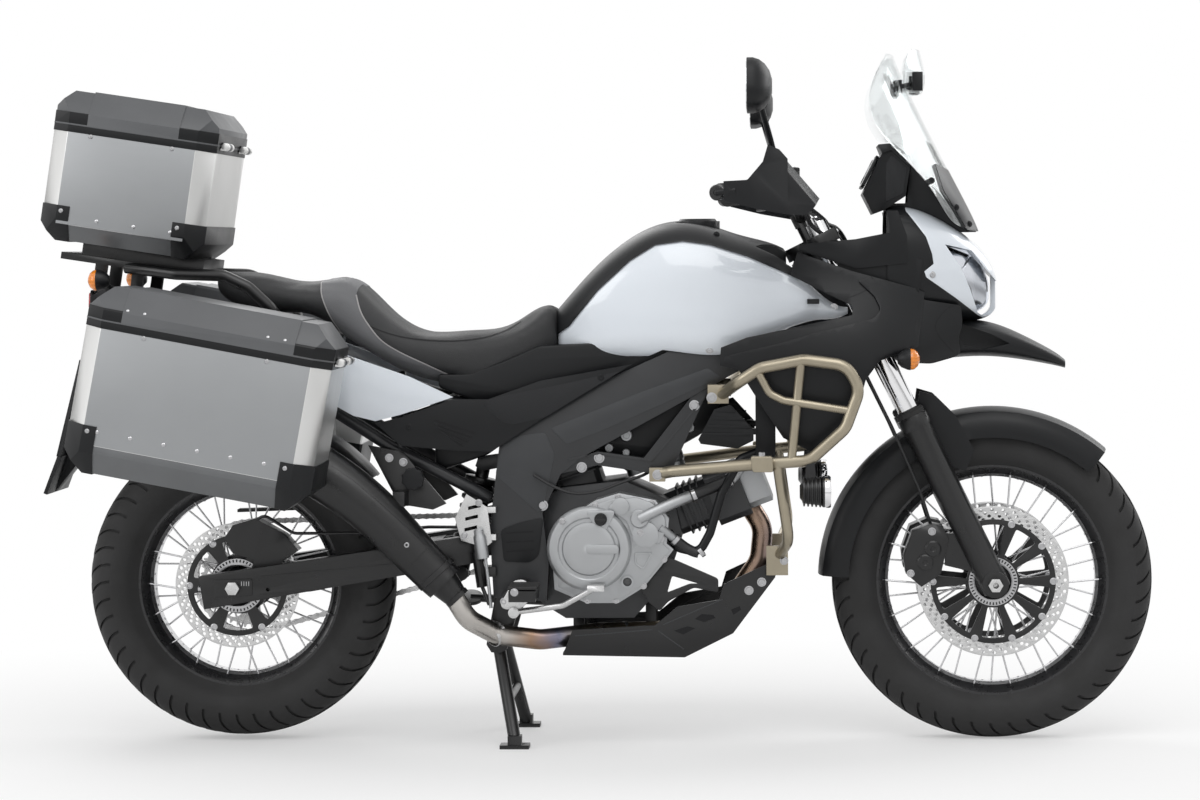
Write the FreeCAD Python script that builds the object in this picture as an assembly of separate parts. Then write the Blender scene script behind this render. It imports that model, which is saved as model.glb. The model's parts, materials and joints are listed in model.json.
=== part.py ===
import FreeCAD, Part

import math
import os

# An adventure motorcycle with aluminium luggage, parked on its centre stand.
# X points to the front, Y to the rider's left and Z up; the origin is on the ground below the
# middle of the machine. All lengths are millimetres and all angles are degrees.

V = FreeCAD.Vector
OUT_DIR = "parts"

# Wheels and chassis geometry
FRONT_AXLE_X = 816.0
WHEELBASE = 1560.0
FRONT_TYRE_R = 329.3
FRONT_TYRE_W = 110.0
FRONT_RIM_R = 241.3
FRONT_RIM_HALF = 40.0
REAR_TYRE_R = 320.9
REAR_TYRE_W = 150.0
REAR_RIM_R = 215.9
REAR_RIM_HALF = 57.0
REAR_LIFT = 8.4
RAKE = 26.0
FORK_OFFSET = 45.0
FORK_HALF_SPACING = 105.0

# Clearances
RUN_FIT = 0.1
SEAT_GAP = 0.3
HOSE_R = 3.2
HOSE_END = 160.0

# Wheel details
SPOKES = 36
SPOKE_R = 1.9
AXLE_R = 10.0
FRONT_HUB_R = 27.0
REAR_HUB_R = 38.0
FRONT_DISC_R = 155.0
FRONT_DISC_Y = 60.0
REAR_DISC_R = 130.0
REAR_DISC_Y = -82.5
DISC_T = 5.0
TREAD_RING = 9.0

# Final drive
CHAIN_Y = 91.0
CHAIN_W = 16.0
CHAIN_H = 15.0
REAR_SPROCKET_R = 118.0
FRONT_SPROCKET_R = 38.0
FRONT_SPROCKET_X = -95.0
FRONT_SPROCKET_Z = 425.0

# Forks and steering
FORK_TUBE_R = 21.5
FORK_LEG_R = 29.0
FORK_LEG_TOP = 385.0
FORK_TOP = 822.0
STEM_R = 24.0
HEAD_R = 36.0
HEAD_LOW = 600.0
HEAD_HIGH = 765.0
CLAMP_T = 26.0
CLAMP_REACH = 140.0

# Frame and swingarm
SPAR_IN = 112.0
SPAR_OUT = 142.0
PIVOT_X = -165.0
PIVOT_Z = 420.0
PIVOT_BOLT_R = 11.0
PIVOT_TUBE_R = 25.0
ARM_OUT = 138.0
ARM_IN_RIGHT = 96.0
ARM_IN_LEFT = 104.0
ARM_H = 56.0
BOBBIN_X = -672.0
BOBBIN_Z = 326.0
BOBBIN_R = 4.0
BOBBIN_DEPTH = 22.0
SUBFRAME_Y = 104.0
SUBFRAME_R = 13.0

# Luggage
CASE_WALL = 3.0
CASE_LID_GAP = 1.0
TOP_BOX_L = 336.0
TOP_BOX_W = 410.0
TOP_BOX_H = 235.0
TOP_LID_H = 70.0
TOP_TILT = 9.0
TOP_BOX_X = -960.0
TOP_BOX_Z = 1029.5
PANNIER_L = 490.0
PANNIER_W = 228.0
PANNIER_H = 300.0
PANNIER_LID_H = 68.0
PANNIER_TILT = 11.0
PANNIER_X = -785.0
PANNIER_Z = 554.5
PANNIER_IN = 252.0
CASE_CORNER = 42.0
CASE_EDGE = 36.0
CASE_EDGE_RISE = 1.3
CASE_FOOT_SHARE = 0.9
TOP_CORNER = 34.0
TOP_HINGE_SPAN = 220.0
PANNIER_HINGE_SPAN = 90.0
HINGE_R = 8.0
HINGE_PIN_R = 3.5

# Stands
STAND_PIVOT_X = -205.0
STAND_PIVOT_Z = 208.0
STAND_LEAN = 12.0
STAND_TUBE_R = 14.0
STAND_HALF_W = 78.0
STAND_FOOT_HALF_W = 150.0
SIDE_STAND_X = -60.0
SIDE_STAND_Z = 262.0
SIDE_STAND_L = 225.0

REAR_AXLE_X = FRONT_AXLE_X - WHEELBASE
REAR_AXLE_Z = REAR_TYRE_R + REAR_LIFT
FRONT_AXLE_Z = FRONT_TYRE_R
SIN_RAKE = math.sin(math.radians(RAKE))
COS_RAKE = math.cos(math.radians(RAKE))


def steer(along, forward, side=0.0):
    """A point given along the steering axis, ahead of it and to its left; the axle is at 0, FORK_OFFSET, 0."""
    ahead = forward - FORK_OFFSET
    return V(FRONT_AXLE_X + ahead * COS_RAKE - along * SIN_RAKE, side,
             FRONT_AXLE_Z + ahead * SIN_RAKE + along * COS_RAKE)


STEER_DIR = V(-SIN_RAKE, 0, COS_RAKE)


def mirrored(shape):
    return shape.mirror(V(0, 0, 0), V(0, 1, 0))


def both(shape):
    """The shape and its mirror image, as two solids that share a node."""
    return Part.makeCompound([shape, mirrored(shape)])


def fuse(shapes):
    first = shapes[0]
    return first.multiFuse(shapes[1:]).removeSplitter() if len(shapes) > 1 else first


def rod(start, end, radius):
    line = end - start
    return Part.makeCylinder(radius, line.Length, start, line)


def pin(x, z, radius, y0, y1):
    return Part.makeCylinder(radius, y1 - y0, V(x, y0, z), V(0, 1, 0))


def prism(points, y0, y1):
    """A side-view outline of (x, z) points, extruded from y0 to y1."""
    corners = [V(x, y0, z) for x, z in points]
    return Part.Face(Part.makePolygon(corners + corners[:1])).extrude(V(0, y1 - y0, 0))


def box(x0, x1, y0, y1, z0, z1):
    return Part.makeBox(x1 - x0, y1 - y0, z1 - z0, V(x0, y0, z0))


def rounded_path(points, bend):
    """Straight runs joined by tangent arcs whose radius is bend, or less where a run is short."""
    edges = []
    start = points[0]
    for before, corner, after in zip(points, points[1:], points[2:]):
        into = (before - corner).normalize()
        away = (after - corner).normalize()
        half_turn = (math.pi - into.getAngle(away)) / 2
        reach = min(bend * math.tan(half_turn), 0.45 * (before - corner).Length, 0.45 * (after - corner).Length)
        a = corner + into * reach
        b = corner + away * reach
        radius = reach / math.tan(half_turn)
        middle = (into + away).normalize()
        mid = corner + middle * (math.hypot(radius, reach) - radius)
        edges.append(Part.LineSegment(start, a).toShape())
        edges.append(Part.Arc(a, mid, b).toShape())
        start = b
    edges.append(Part.LineSegment(start, points[-1]).toShape())
    return Part.Wire(edges)


def tube(points, radius, bend=60.0):
    points = [V(*p) for p in points]
    if len(points) == 2:
        return rod(points[0], points[1], radius)
    path = rounded_path(points, bend)
    ring = Part.Wire(Part.makeCircle(radius, points[0], points[1] - points[0]))
    return path.makePipeShell([ring], True, False)


def section(x, points):
    """A closed smooth ring of (y, z) points at one x."""
    curve = Part.BSplineCurve()
    curve.interpolate([V(x, y, z) for y, z in points], PeriodicFlag=True)
    return Part.Wire(curve.toShape())


def body_loft(stations):
    """A solid through symmetric rings; each station is x and the left half's (y, z) points from top to bottom."""
    rings = []
    for x, half in stations:
        right = [(-y, z) for y, z in reversed(half) if y > 0]
        rings.append(section(x, half + right))
    return Part.makeLoft(rings, True, False)


def sheet_loft(stations, thickness):
    """A curved sheet; each station is x and the outer face's (y, z) points on the right side, from low to high."""
    rings = []
    for x, points in stations:
        outer = Part.BSplineCurve()
        outer.interpolate([V(x, y, z) for y, z in points])
        inner = Part.BSplineCurve()
        inner.interpolate([V(x, y + thickness, z) for y, z in points])
        ends = [Part.LineSegment(V(x, y, z), V(x, y + thickness, z)).toShape() for y, z in (points[0], points[-1])]
        rings.append(Part.Wire(Part.__sortEdges__([outer.toShape(), ends[1], inner.toShape(), ends[0]])))
    return Part.makeLoft(rings, True, False)


def revolve_y(profile, x, z, start=0.0, sweep=360.0):
    """A profile of (radius, y) points turned about the lateral line through x, z; angles run from forward to up."""
    corners = [V(x + r, y, z) for r, y in profile]
    face = Part.Face(Part.makePolygon(corners + corners[:1]))
    face.rotate(V(x, 0, z), V(0, 1, 0), -start)
    return face.revolve(V(x, 0, z), V(0, -1, 0), sweep)


def ring_y(x, z, outer, inner, y0, y1):
    return pin(x, z, outer, y0, y1).cut(pin(x, z, inner, y0 - 1, y1 + 1))


def polar(x, z, radius, degrees):
    turn = math.radians(degrees)
    return x + radius * math.cos(turn), z + radius * math.sin(turn)


def placed(shape, x, y, z, tilt):
    """A local shape moved to its place, its front end lowered by tilt degrees."""
    shape = shape.copy()
    shape.rotate(V(0, 0, 0), V(0, 1, 0), tilt)
    shape.translate(V(x, y, z))
    return shape


# Wheels

def tyre(x, z, radius, width, rim_r, rim_half):
    """A tyre carcass whose profile runs bead, sidewall, shoulder and crown."""
    half = width / 2
    height = radius - rim_r
    right = [(rim_r + 0.3, rim_half - 6.3), (rim_r + 13.0, rim_half - 6.4), (rim_r + 0.36 * height, 0.88 * half),
             (rim_r + 0.52 * height, half), (rim_r + 0.72 * height, 0.93 * half),
             (rim_r + 0.88 * height, 0.66 * half)]
    points = right + [(radius, 0.0)] + [(r, -y) for r, y in reversed(right)]
    outer = Part.BSplineCurve()
    outer.interpolate([V(x + r, y, z) for r, y in points])
    bead = [V(x + r, y, z) for r, y in (points[-1], (rim_r + 0.3, 9.0 - rim_half), (radius - TREAD_RING, 0.0),
                                        (rim_r + 0.3, rim_half - 9.0), points[0])]
    inside = [Part.LineSegment(a, b).toShape() for a, b in zip(bead, bead[1:])]
    face = Part.Face(Part.Wire([outer.toShape()] + inside))
    return face.revolve(V(x, 0, z), V(0, 1, 0), 360)


def rim_ring(x, z, rim_r, half):
    """A deep-well rim with bead flanges, clear of the tyre's beads."""
    profile = [(rim_r + 13, half), (rim_r + 13, half - 5), (rim_r, half - 6), (rim_r - 1, 0.62 * half),
               (rim_r - 20, 0.36 * half), (rim_r - 20, -0.36 * half), (rim_r - 1, -0.62 * half),
               (rim_r, -half + 6), (rim_r + 13, -half + 5), (rim_r + 13, -half), (rim_r - 8, -half + 2),
               (rim_r - 14, -0.62 * half), (rim_r - 28, -0.30 * half), (rim_r - 28, 0.30 * half),
               (rim_r - 14, 0.62 * half), (rim_r - 8, half - 2)]
    return revolve_y(profile, x, z)


def wheel_hub(x, z, core_r, flange_r, flange_y, half):
    profile = [(AXLE_R + RUN_FIT, -half), (AXLE_R + RUN_FIT, half), (core_r * 0.8, half), (core_r, flange_y + 5),
               (flange_r, flange_y + 4), (flange_r, flange_y - 4), (core_r, flange_y - 9), (core_r * 0.9, 0),
               (core_r, -flange_y + 9), (flange_r, -flange_y + 4), (flange_r, -flange_y - 4), (core_r, -flange_y - 5),
               (core_r * 0.8, -half)]
    return revolve_y(profile, x, z)


def wire_spokes(x, z, hub_r, hub_y, rim_r, rim_y):
    """Crossed pairs of spokes from both hub flanges to the rim."""
    step = 360.0 / SPOKES
    cross = 2.2 * step
    spokes = []
    for i in range(SPOKES):
        side = 1 if i % 2 else -1
        lean = cross if (i // 2) % 2 else -cross
        ax, az = polar(x, z, hub_r - 3, i * step + lean)
        bx, bz = polar(x, z, rim_r, i * step)
        spokes.append(rod(V(ax, side * hub_y, az), V(bx, side * rim_y, bz), SPOKE_R))
    return spokes


def wire_wheel(x, z, rim_r, rim_half, core_r, flange_r, flange_y, hub_half):
    spokes = wire_spokes(x, z, flange_r, flange_y, rim_r - 16, 0.55 * rim_half)
    return fuse([wheel_hub(x, z, core_r, flange_r, flange_y, hub_half), rim_ring(x, z, rim_r, rim_half)] + spokes)


def front_rim():
    return wire_wheel(FRONT_AXLE_X, FRONT_AXLE_Z, FRONT_RIM_R, FRONT_RIM_HALF, FRONT_HUB_R, 46.0, 38.0,
                      FRONT_DISC_Y - DISC_T / 2)


def rear_rim():
    return wire_wheel(REAR_AXLE_X, REAR_AXLE_Z, REAR_RIM_R, REAR_RIM_HALF, REAR_HUB_R, 62.0, 52.0,
                      -REAR_DISC_Y - DISC_T / 2)


def brake_disc(x, z, radius, y, inner, band, arms):
    """A rotor band on a spider with open windows, bored for the axle."""
    plate = ring_y(x, z, radius, AXLE_R + 12.0, y - DISC_T / 2, y + DISC_T / 2)
    windows = []
    step = 360.0 / arms
    for i in range(arms):
        cx, cz = polar(x, z, (inner + radius - band) / 2 + 4, (i + 0.5) * step)
        windows.append(pin(cx, cz, (radius - band - inner) / 2, y - DISC_T, y + DISC_T))
    return plate.cut(Part.makeCompound(windows))


def front_discs():
    disc = brake_disc(FRONT_AXLE_X, FRONT_AXLE_Z, FRONT_DISC_R, -FRONT_DISC_Y, 66.0, 34.0, 7)
    return both(disc)


def rear_disc():
    return brake_disc(REAR_AXLE_X, REAR_AXLE_Z, REAR_DISC_R, REAR_DISC_Y, 52.0, 36.0, 5)


def rear_sprocket():
    """A toothed ring on the hub's left end, inside the chain's loop."""
    teeth = 42
    outer = REAR_SPROCKET_R - CHAIN_H / 2 - 2.0
    root = outer - 7.0
    points = []
    for i in range(teeth):
        base = 360.0 * i / teeth
        for share, radius in ((0.0, root), (0.30, root), (0.45, outer), (0.62, outer), (0.80, root)):
            points.append(polar(REAR_AXLE_X, REAR_AXLE_Z, radius, base + share * 360.0 / teeth))
    y0 = -REAR_DISC_Y - DISC_T / 2
    plate = prism(points, CHAIN_Y - 3.5, CHAIN_Y + 3.5)
    plate = plate.cut(pin(REAR_AXLE_X, REAR_AXLE_Z, 34.0, CHAIN_Y - 10, CHAIN_Y + 10))
    lightening = [pin(*polar(REAR_AXLE_X, REAR_AXLE_Z, 76.0, i * 60.0), 20.0, CHAIN_Y - 10, CHAIN_Y + 10)
                  for i in range(6)]
    plate = plate.cut(Part.makeCompound(lightening))
    carrier = ring_y(REAR_AXLE_X, REAR_AXLE_Z, 54.0, AXLE_R + 6.0, y0, CHAIN_Y)
    return fuse([plate, carrier])


# Final drive

def belt_outline(grow):
    """Points of the loop round both sprockets, grown by a distance."""
    dx = FRONT_SPROCKET_X - REAR_AXLE_X
    dz = FRONT_SPROCKET_Z - REAR_AXLE_Z
    span = math.hypot(dx, dz)
    slope = math.degrees(math.atan2(dz, dx))
    taper = math.degrees(math.asin((REAR_SPROCKET_R - FRONT_SPROCKET_R) / span))
    big = REAR_SPROCKET_R + grow
    small = FRONT_SPROCKET_R + grow
    front_top = slope + 90 - taper
    front_low = slope - 90 + taper
    rear = (REAR_AXLE_X, REAR_AXLE_Z)
    front = (FRONT_SPROCKET_X, FRONT_SPROCKET_Z)

    def at(centre, radius, degrees):
        px, pz = polar(centre[0], centre[1], radius, degrees)
        return V(px, CHAIN_Y, pz)

    edges = [Part.Arc(at(rear, big, front_top), at(rear, big, slope + 180), at(rear, big, front_low + 360)).toShape(),
             Part.LineSegment(at(rear, big, front_low), at(front, small, front_low)).toShape(),
             Part.Arc(at(front, small, front_low), at(front, small, slope), at(front, small, front_top)).toShape(),
             Part.LineSegment(at(front, small, front_top), at(rear, big, front_top)).toShape()]
    return Part.Wire(edges)


def chain():
    """A closed loop: thin side bands and a row of link rollers joined to them."""
    outer = Part.Face(belt_outline(CHAIN_H / 2)).extrude(V(0, CHAIN_W / 2, 0))
    inner = Part.Face(belt_outline(-CHAIN_H / 2)).extrude(V(0, CHAIN_W, 0))
    half = outer.cut(inner)
    half.translate(V(0, -CHAIN_W / 4, 0))
    return half


def front_sprocket():
    x, z = FRONT_SPROCKET_X, FRONT_SPROCKET_Z
    wheel = pin(x, z, FRONT_SPROCKET_R - CHAIN_H / 2 - 1.0, CHAIN_Y - 5, CHAIN_Y + 5)
    return fuse([wheel, pin(x, z, 13.0, 62.0, CHAIN_Y + 8)])


# Frame

SPAR_SIDE = [(330, 890), (143, 803), (-106, 693), (-187, 650), (-200, 548), (-212, 441), (-206, 308), (-97, 300),
             (-92, 378), (-104, 481), (-66, 560), (-20, 596), (268, 752), (330, 785)]
HANGER_SIDE = [(240, 738), (203, 718), (104, 592), (9, 606), (-40, 590), (-70, 560), (9, 578), (112, 562),
               (140, 550), (158, 560)]


def frame():
    """Twin spars with pivot plates and engine hangers, joined at the steering head and the pivot."""
    spar = fuse([prism(SPAR_SIDE, -SPAR_OUT, -SPAR_IN), prism(HANGER_SIDE, -SPAR_OUT + 6, -SPAR_IN)])
    low = steer(HEAD_LOW, 0)
    high = steer(HEAD_HIGH, 0)
    rear = [V(330, y, z) for y, z in ((-SPAR_OUT, 785), (-SPAR_IN, 785), (-SPAR_IN, 890), (-SPAR_OUT, 890))]
    foot = steer(HEAD_LOW + 10, 0)
    top = steer(HEAD_HIGH - 50, 0)
    front = [V(foot.x, -24, foot.z), V(foot.x, 4, foot.z), V(top.x, 4, top.z), V(top.x, -24, top.z)]
    neck = Part.makeLoft([Part.makePolygon(rear + rear[:1]), Part.makePolygon(front + front[:1])], True, True)
    head = rod(low, high, HEAD_R)
    ear = [(-172, 598), (-172, 572), (-236, 560), (-252, 570), (-246, 588)]
    shape = fuse([spar, mirrored(spar), neck, mirrored(neck), head,
                  pin(PIVOT_X, PIVOT_Z, PIVOT_BOLT_R, -SPAR_OUT, SPAR_OUT),
                  pin(-175, 585, 15.0, -SPAR_IN - 1, SPAR_IN + 1),
                  prism(ear, 15.3, 23), prism(ear, -23, -15.3),
                  steer_place(box(30, 245, -14, 14, 632, 660))])
    return shape.cut(rod(low - STEER_DIR * 5, high + STEER_DIR * 5, STEM_R + RUN_FIT))


def subframe():
    """Seat rails and struts of round tube, bolted to the spars."""
    y = -SUBFRAME_Y
    upper = tube([(-120, y, 690), (-330, y, 712), (-620, y, 812), (-960, y, 925)], SUBFRAME_R, 200)
    lower = tube([(-212, y, 508), (-421, y, 619), (-700, y, 800), (-800, y, 879)], SUBFRAME_R, 300)
    strut = rod(V(-395, y, 605), V(-420, y, 765), 10.0)
    side = fuse([upper, lower, strut])
    cross = [rod(V(x, -SUBFRAME_Y, z), V(x, SUBFRAME_Y, z), 11.0) for x, z in ((-300, 709), (-560, 791), (-940, 918))]
    shape = fuse([side, mirrored(side)] + cross)
    return shape.cut(frame_shape)


def swingarm():
    """Box-section arms from the axle to a cross member and a pivot tube between the frame's plates."""
    slope = math.atan2(PIVOT_Z - REAR_AXLE_Z, PIVOT_X - REAR_AXLE_X)
    up = V(-math.sin(slope), 0, math.cos(slope))
    ahead = V(math.cos(slope), 0, math.sin(slope))
    tip = V(REAR_AXLE_X - 66, 0, REAR_AXLE_Z - 66 * math.tan(slope))
    arm_end = V(-226, 0, REAR_AXLE_Z + (-226 - REAR_AXLE_X) * math.tan(slope))
    outline = [tip - up * 34, tip + up * 34, arm_end + up * ARM_H * 0.5, arm_end - up * ARM_H * 0.5]

    def arm(y0, y1):
        return prism([(p.x, p.z) for p in outline], y0, y1)

    right = arm(-ARM_OUT, -ARM_IN_RIGHT)
    left = arm(ARM_IN_LEFT, ARM_OUT)
    lug_back = arm_end - ahead * 150
    lug = [lug_back - up * 20, lug_back + up * 20, V(PIVOT_X, 0, PIVOT_Z + 22), V(PIVOT_X, 0, PIVOT_Z - 22)]
    lug_right = prism([(p.x, p.z) for p in lug], -ARM_IN_RIGHT - 2, -80)
    lug_left = prism([(p.x, p.z) for p in lug], 54, 76)
    cross_front = arm_end - ahead * 96
    cross_back = arm_end - ahead * 156
    cross = [cross_back - up * 22, cross_back + up * 22, cross_front + up * 22, cross_front - up * 22]
    brace = prism([(p.x, p.z) for p in cross], -ARM_IN_RIGHT - 2, ARM_IN_LEFT + 2)
    pivot = pin(PIVOT_X, PIVOT_Z, PIVOT_TUBE_R, -SPAR_IN + 2, SPAR_IN - 2)
    ear = [(-370, 385), (-330, 380), (-314, 368), (-275, 360), (-268, 340), (-285, 328), (-345, 350), (-370, 365)]
    ears = [prism(ear, 15.3, 23), prism(ear, -23, -15.3)]
    shape = fuse([right, left, lug_right, lug_left, brace, pivot] + ears)
    guard = prism([(-770, 468), (-640, 472), (-330, 482), (-330, 486), (-640, 478), (-770, 474)], 78, 116)
    stay = prism([(-520, 380), (-490, 385), (-490, 480), (-520, 478)], 108, 112)
    shape = fuse([shape, guard, stay])
    bores = [pin(PIVOT_X, PIVOT_Z, PIVOT_BOLT_R + RUN_FIT, -150, 150),
             pin(BOBBIN_X, BOBBIN_Z, BOBBIN_R, -ARM_OUT - 1, -ARM_OUT + BOBBIN_DEPTH),
             pin(BOBBIN_X, BOBBIN_Z, BOBBIN_R, ARM_OUT - BOBBIN_DEPTH, ARM_OUT + 1),
             pin(REAR_AXLE_X, REAR_AXLE_Z, AXLE_R + SEAT_GAP, -150, 150)]
    return shape.cut(Part.makeCompound(bores))


def axle_with_nuts(x, z, reach, nut):
    hexagon = [polar(x, z, nut, 60.0 * i) for i in range(6)]
    return fuse([pin(x, z, AXLE_R, -reach, reach), prism(hexagon, -reach - 4, -reach + 8),
                 prism(hexagon, reach - 8, reach + 4)])


def rear_axle():
    return axle_with_nuts(REAR_AXLE_X, REAR_AXLE_Z, ARM_OUT + 10, 15.0)


def coil_over(low, high):
    """A damper tube with spring seats and a ribbed coil, as one turned body between two eyes."""
    line = (high - low).normalize()
    length = (high - low).Length
    profile = [(0, 10), (14, 10), (14, 34), (34, 34), (34, 42)]
    turns = 7
    step = (length - 84) / turns
    for i in range(turns):
        base = 42 + i * step
        profile += [(25, base + 0.1 * step), (33, base + 0.35 * step), (33, base + 0.65 * step),
                    (25, base + 0.9 * step)]
    profile += [(34, length - 42), (34, length - 30), (14, length - 30), (14, length - 10), (0, length - 10)]
    corners = [V(r, 0, h) for r, h in profile]
    body = Part.Face(Part.makePolygon(corners + corners[:1])).revolve(V(0, 0, 0), V(0, 0, 1), 360)
    body.Placement = FreeCAD.Placement(low, FreeCAD.Rotation(V(0, 0, 1), line))
    ears = [Part.makeCylinder(15, 30, V(p.x, p.y - 15, p.z), V(0, 1, 0)) for p in (low, high)]
    return fuse([body] + ears)


def oval(x, width, top, middle, low, square=0.75):
    """Half a ring from top to bottom; square below 1 fills the corners."""
    half = []
    for k in range(9):
        turn = math.pi * k / 8
        s = max(math.sin(turn), 0.0) ** square if 0 < k < 8 else 0.0
        c = math.cos(turn)
        reach = top - middle if c >= 0 else middle - low
        half.append((width * s, middle + math.copysign(abs(c) ** square, c) * reach))
    return half


def hull(stations, square=0.75):
    return body_loft([(s[0], oval(*s, square)) for s in stations])


def steer_place(shape):
    """A shape with its own z along the steering axis and x ahead, moved to the machine."""
    shape = shape.copy()
    shape.rotate(V(0, 0, 0), V(0, 1, 0), -RAKE)
    shape.translate(steer(0, 0))
    return shape


def steer_sweep(outer, inner, z0, z1, wedge):
    """The room that the fork tubes need when they turn; a wedge behind the head stays free."""
    ring = Part.makeCylinder(outer, z1 - z0, V(0, 0, z0))
    reach = outer * 1.2
    side = reach * math.tan(math.radians(wedge))
    keep = Part.Face(Part.makePolygon([V(0, 0, z0 - 1), V(-reach, side, z0 - 1), V(-reach, -side, z0 - 1),
                                       V(0, 0, z0 - 1)])).extrude(V(0, 0, z1 - z0 + 2))
    ring = ring.cut(keep)
    return steer_place(ring.fuse(Part.makeCylinder(inner, z1 - z0, V(0, 0, z0))))


# Steering

def clamp_plate(z0, thick):
    stem = Part.makeCylinder(38, thick, V(0, 0, z0))
    parts = [stem]
    for side in (-1, 1):
        y = side * FORK_HALF_SPACING
        parts.append(Part.makeCylinder(33, thick, V(FORK_OFFSET, y, z0)))
        web = [V(-24, 0, z0), V(30, y, z0), V(66, y, z0), V(30, 0, z0)]
        parts.append(Part.Face(Part.makePolygon(web + web[:1])).extrude(V(0, 0, thick)))
    return fuse(parts)


def triple_clamps():
    low = clamp_plate(HEAD_LOW - 6 - CLAMP_T - 6, CLAMP_T + 6)
    high = clamp_plate(HEAD_HIGH + 6, CLAMP_T)
    stem = Part.makeCylinder(STEM_R, HEAD_HIGH - HEAD_LOW + 30, V(0, 0, HEAD_LOW - 15))
    shape = fuse([low, high, stem]).common(Part.makeCylinder(CLAMP_REACH, 400, V(0, 0, HEAD_LOW - 100)))
    for side in (-1, 1):
        y = side * FORK_HALF_SPACING
        shape = shape.cut(Part.makeCylinder(FORK_TUBE_R + SEAT_GAP, 400, V(FORK_OFFSET, y, HEAD_LOW - 100)))
    risers = []
    for y in (-52.0, 52.0):
        foot = HEAD_HIGH + 6 + CLAMP_T
        risers.append(Part.makeCylinder(17, 42, V(24, y, foot - 1)))
        risers.append(Part.makeBox(38, 26, 28, V(5, y - 13, foot + 30)))
    shape = steer_place(fuse([shape] + risers))
    return shape.cut(handlebar_shape_grown())


BAR_CENTRE = steer(HEAD_HIGH + 6 + CLAMP_T + 44, 24)


def bar_path():
    x, z = BAR_CENTRE.x, BAR_CENTRE.z
    half = [(x, 75, z), (x - 28, 165, z + 66), (x - 160, 415, z + 50)]
    return [(a, -b, c) for a, b, c in reversed(half)] + half


def handlebar():
    """A tapered bar with rubber-sleeved ends and bar-end weights, as one bent tube."""
    bar = tube(bar_path(), 11.0, 80)
    ends = []
    for side in (-1, 1):
        points = [V(a, side * abs(b), c) for a, b, c in bar_path()[-2:]]
        line = (points[1] - points[0]).normalize()
        ends.append(rod(points[1] - line * 132, points[1] - line * 2, 16.0))
        ends.append(rod(points[1] - line * 3, points[1] + line * 16, 14.0))
    return fuse([bar] + ends)


def handlebar_shape_grown():
    return tube(bar_path(), 11.0 + SEAT_GAP, 80)


def hand_guards():
    """Shields ahead of the grips whose fronts lean back, held at the bar's ends."""
    outline = [(276, 1147), (322, 1149), (352, 1184), (362, 1217), (384, 1207), (422, 1164), (463, 1115),
               (452, 1096), (435, 1080), (408, 1080), (343, 1092), (276, 1109)]
    plan = [(276, -440), (420, -444), (488, -428), (506, -385), (500, -310), (478, -262)]
    inner = [(276, -435), (419, -439), (484, -424), (501, -383), (495, -311), (474, -264)]
    corners = [V(x, y, 1060) for x, y in plan + list(reversed(inner))]
    wall = Part.Face(Part.makePolygon(corners + corners[:1])).extrude(V(-153, 0, 180))
    side = box(276, 400, -440, -435, 1060, 1240)
    shield = fuse([wall, side]).common(prism(outline, -450, -250))
    strap = rod(V(300, -437, 1128), V(262, -428, 1126), 8.0)
    return both(fuse([shield, strap]).cut(handlebar_shape))


def mirrors():
    face = [(-300, 1296), (-312, 1282), (-400, 1276), (-462, 1290), (-478, 1318), (-466, 1368), (-440, 1388),
            (-340, 1384), (-312, 1368), (-300, 1340)]
    corners = [V(322, y, z) for y, z in face]
    head = Part.Face(Part.makePolygon(corners + corners[:1])).extrude(V(26, 0, 0))
    back = Part.makeSphere(40, V(346, -386, 1332))
    back = back.common(box(340, 372, -430, -340, 1290, 1374))
    stem = tube([(BAR_CENTRE.x - 46, -212, BAR_CENTRE.z + 62), (366, -240, 1212), (362, -330, 1262),
                 (346, -386, 1330)], 6.0, 30)
    clamp = rod(V(BAR_CENTRE.x - 46, -212, BAR_CENTRE.z + 66), V(BAR_CENTRE.x - 44, -214, BAR_CENTRE.z + 84), 11.0)
    return both(fuse([head, back, stem, clamp]).cut(handlebar_shape))


def controls():
    """Switch housings, master cylinders with their reservoirs, and levers inside the hand guards."""
    x, z = BAR_CENTRE.x, BAR_CENTRE.z
    housing = rod(V(x - 48, -218, z + 50), V(x - 74, -272, z + 46), 22.0)
    master = box(x - 46, x - 16, -262, -212, z + 34, z + 62)
    cup = rod(V(x - 26, -236, z + 58), V(x - 26, -236, z + 96), 22.0)
    lever = tube([(x - 26, -250, z + 40), (x - 36, -300, z + 34), (x - 92, -408, z + 26)], 5.5, 40)
    return both(fuse([housing, master, cup, lever]).cut(handlebar_shape).cut(mirror_shape))


def fork_tubes():
    parts = []
    for side in (-1, 1):
        y = side * FORK_HALF_SPACING
        leg = Part.makeCylinder(FORK_TUBE_R, FORK_TOP - 330, V(FORK_OFFSET, y, 330))
        parts.append(leg.fuse(Part.makeCylinder(17, 12, V(FORK_OFFSET, y, FORK_TOP - 1))))
    return steer_place(Part.makeCompound(parts))


def fork_lowers():
    y = -FORK_HALF_SPACING
    leg = Part.makeCylinder(FORK_LEG_R, FORK_LEG_TOP + 14, V(FORK_OFFSET, y, -14))
    collar = Part.makeCylinder(FORK_LEG_R + 3, 26, V(FORK_OFFSET, y, FORK_LEG_TOP - 30))
    leg = steer_place(leg.fuse(collar))
    lug = prism([(716, 366), (790, 348), (790, 424), (716, 432)], -96, -84)
    boss = pin(FRONT_AXLE_X, FRONT_AXLE_Z, 27.0, -FORK_HALF_SPACING - 31, -FORK_HALF_SPACING + 27)
    shape = fuse([leg, lug, boss])
    bore = steer_place(Part.makeCylinder(FORK_TUBE_R + SEAT_GAP, 400, V(FORK_OFFSET, y, 329.5)))
    axle = pin(FRONT_AXLE_X, FRONT_AXLE_Z, AXLE_R + SEAT_GAP, -160, 0)
    return both(shape.cut(bore).cut(axle))


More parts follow.
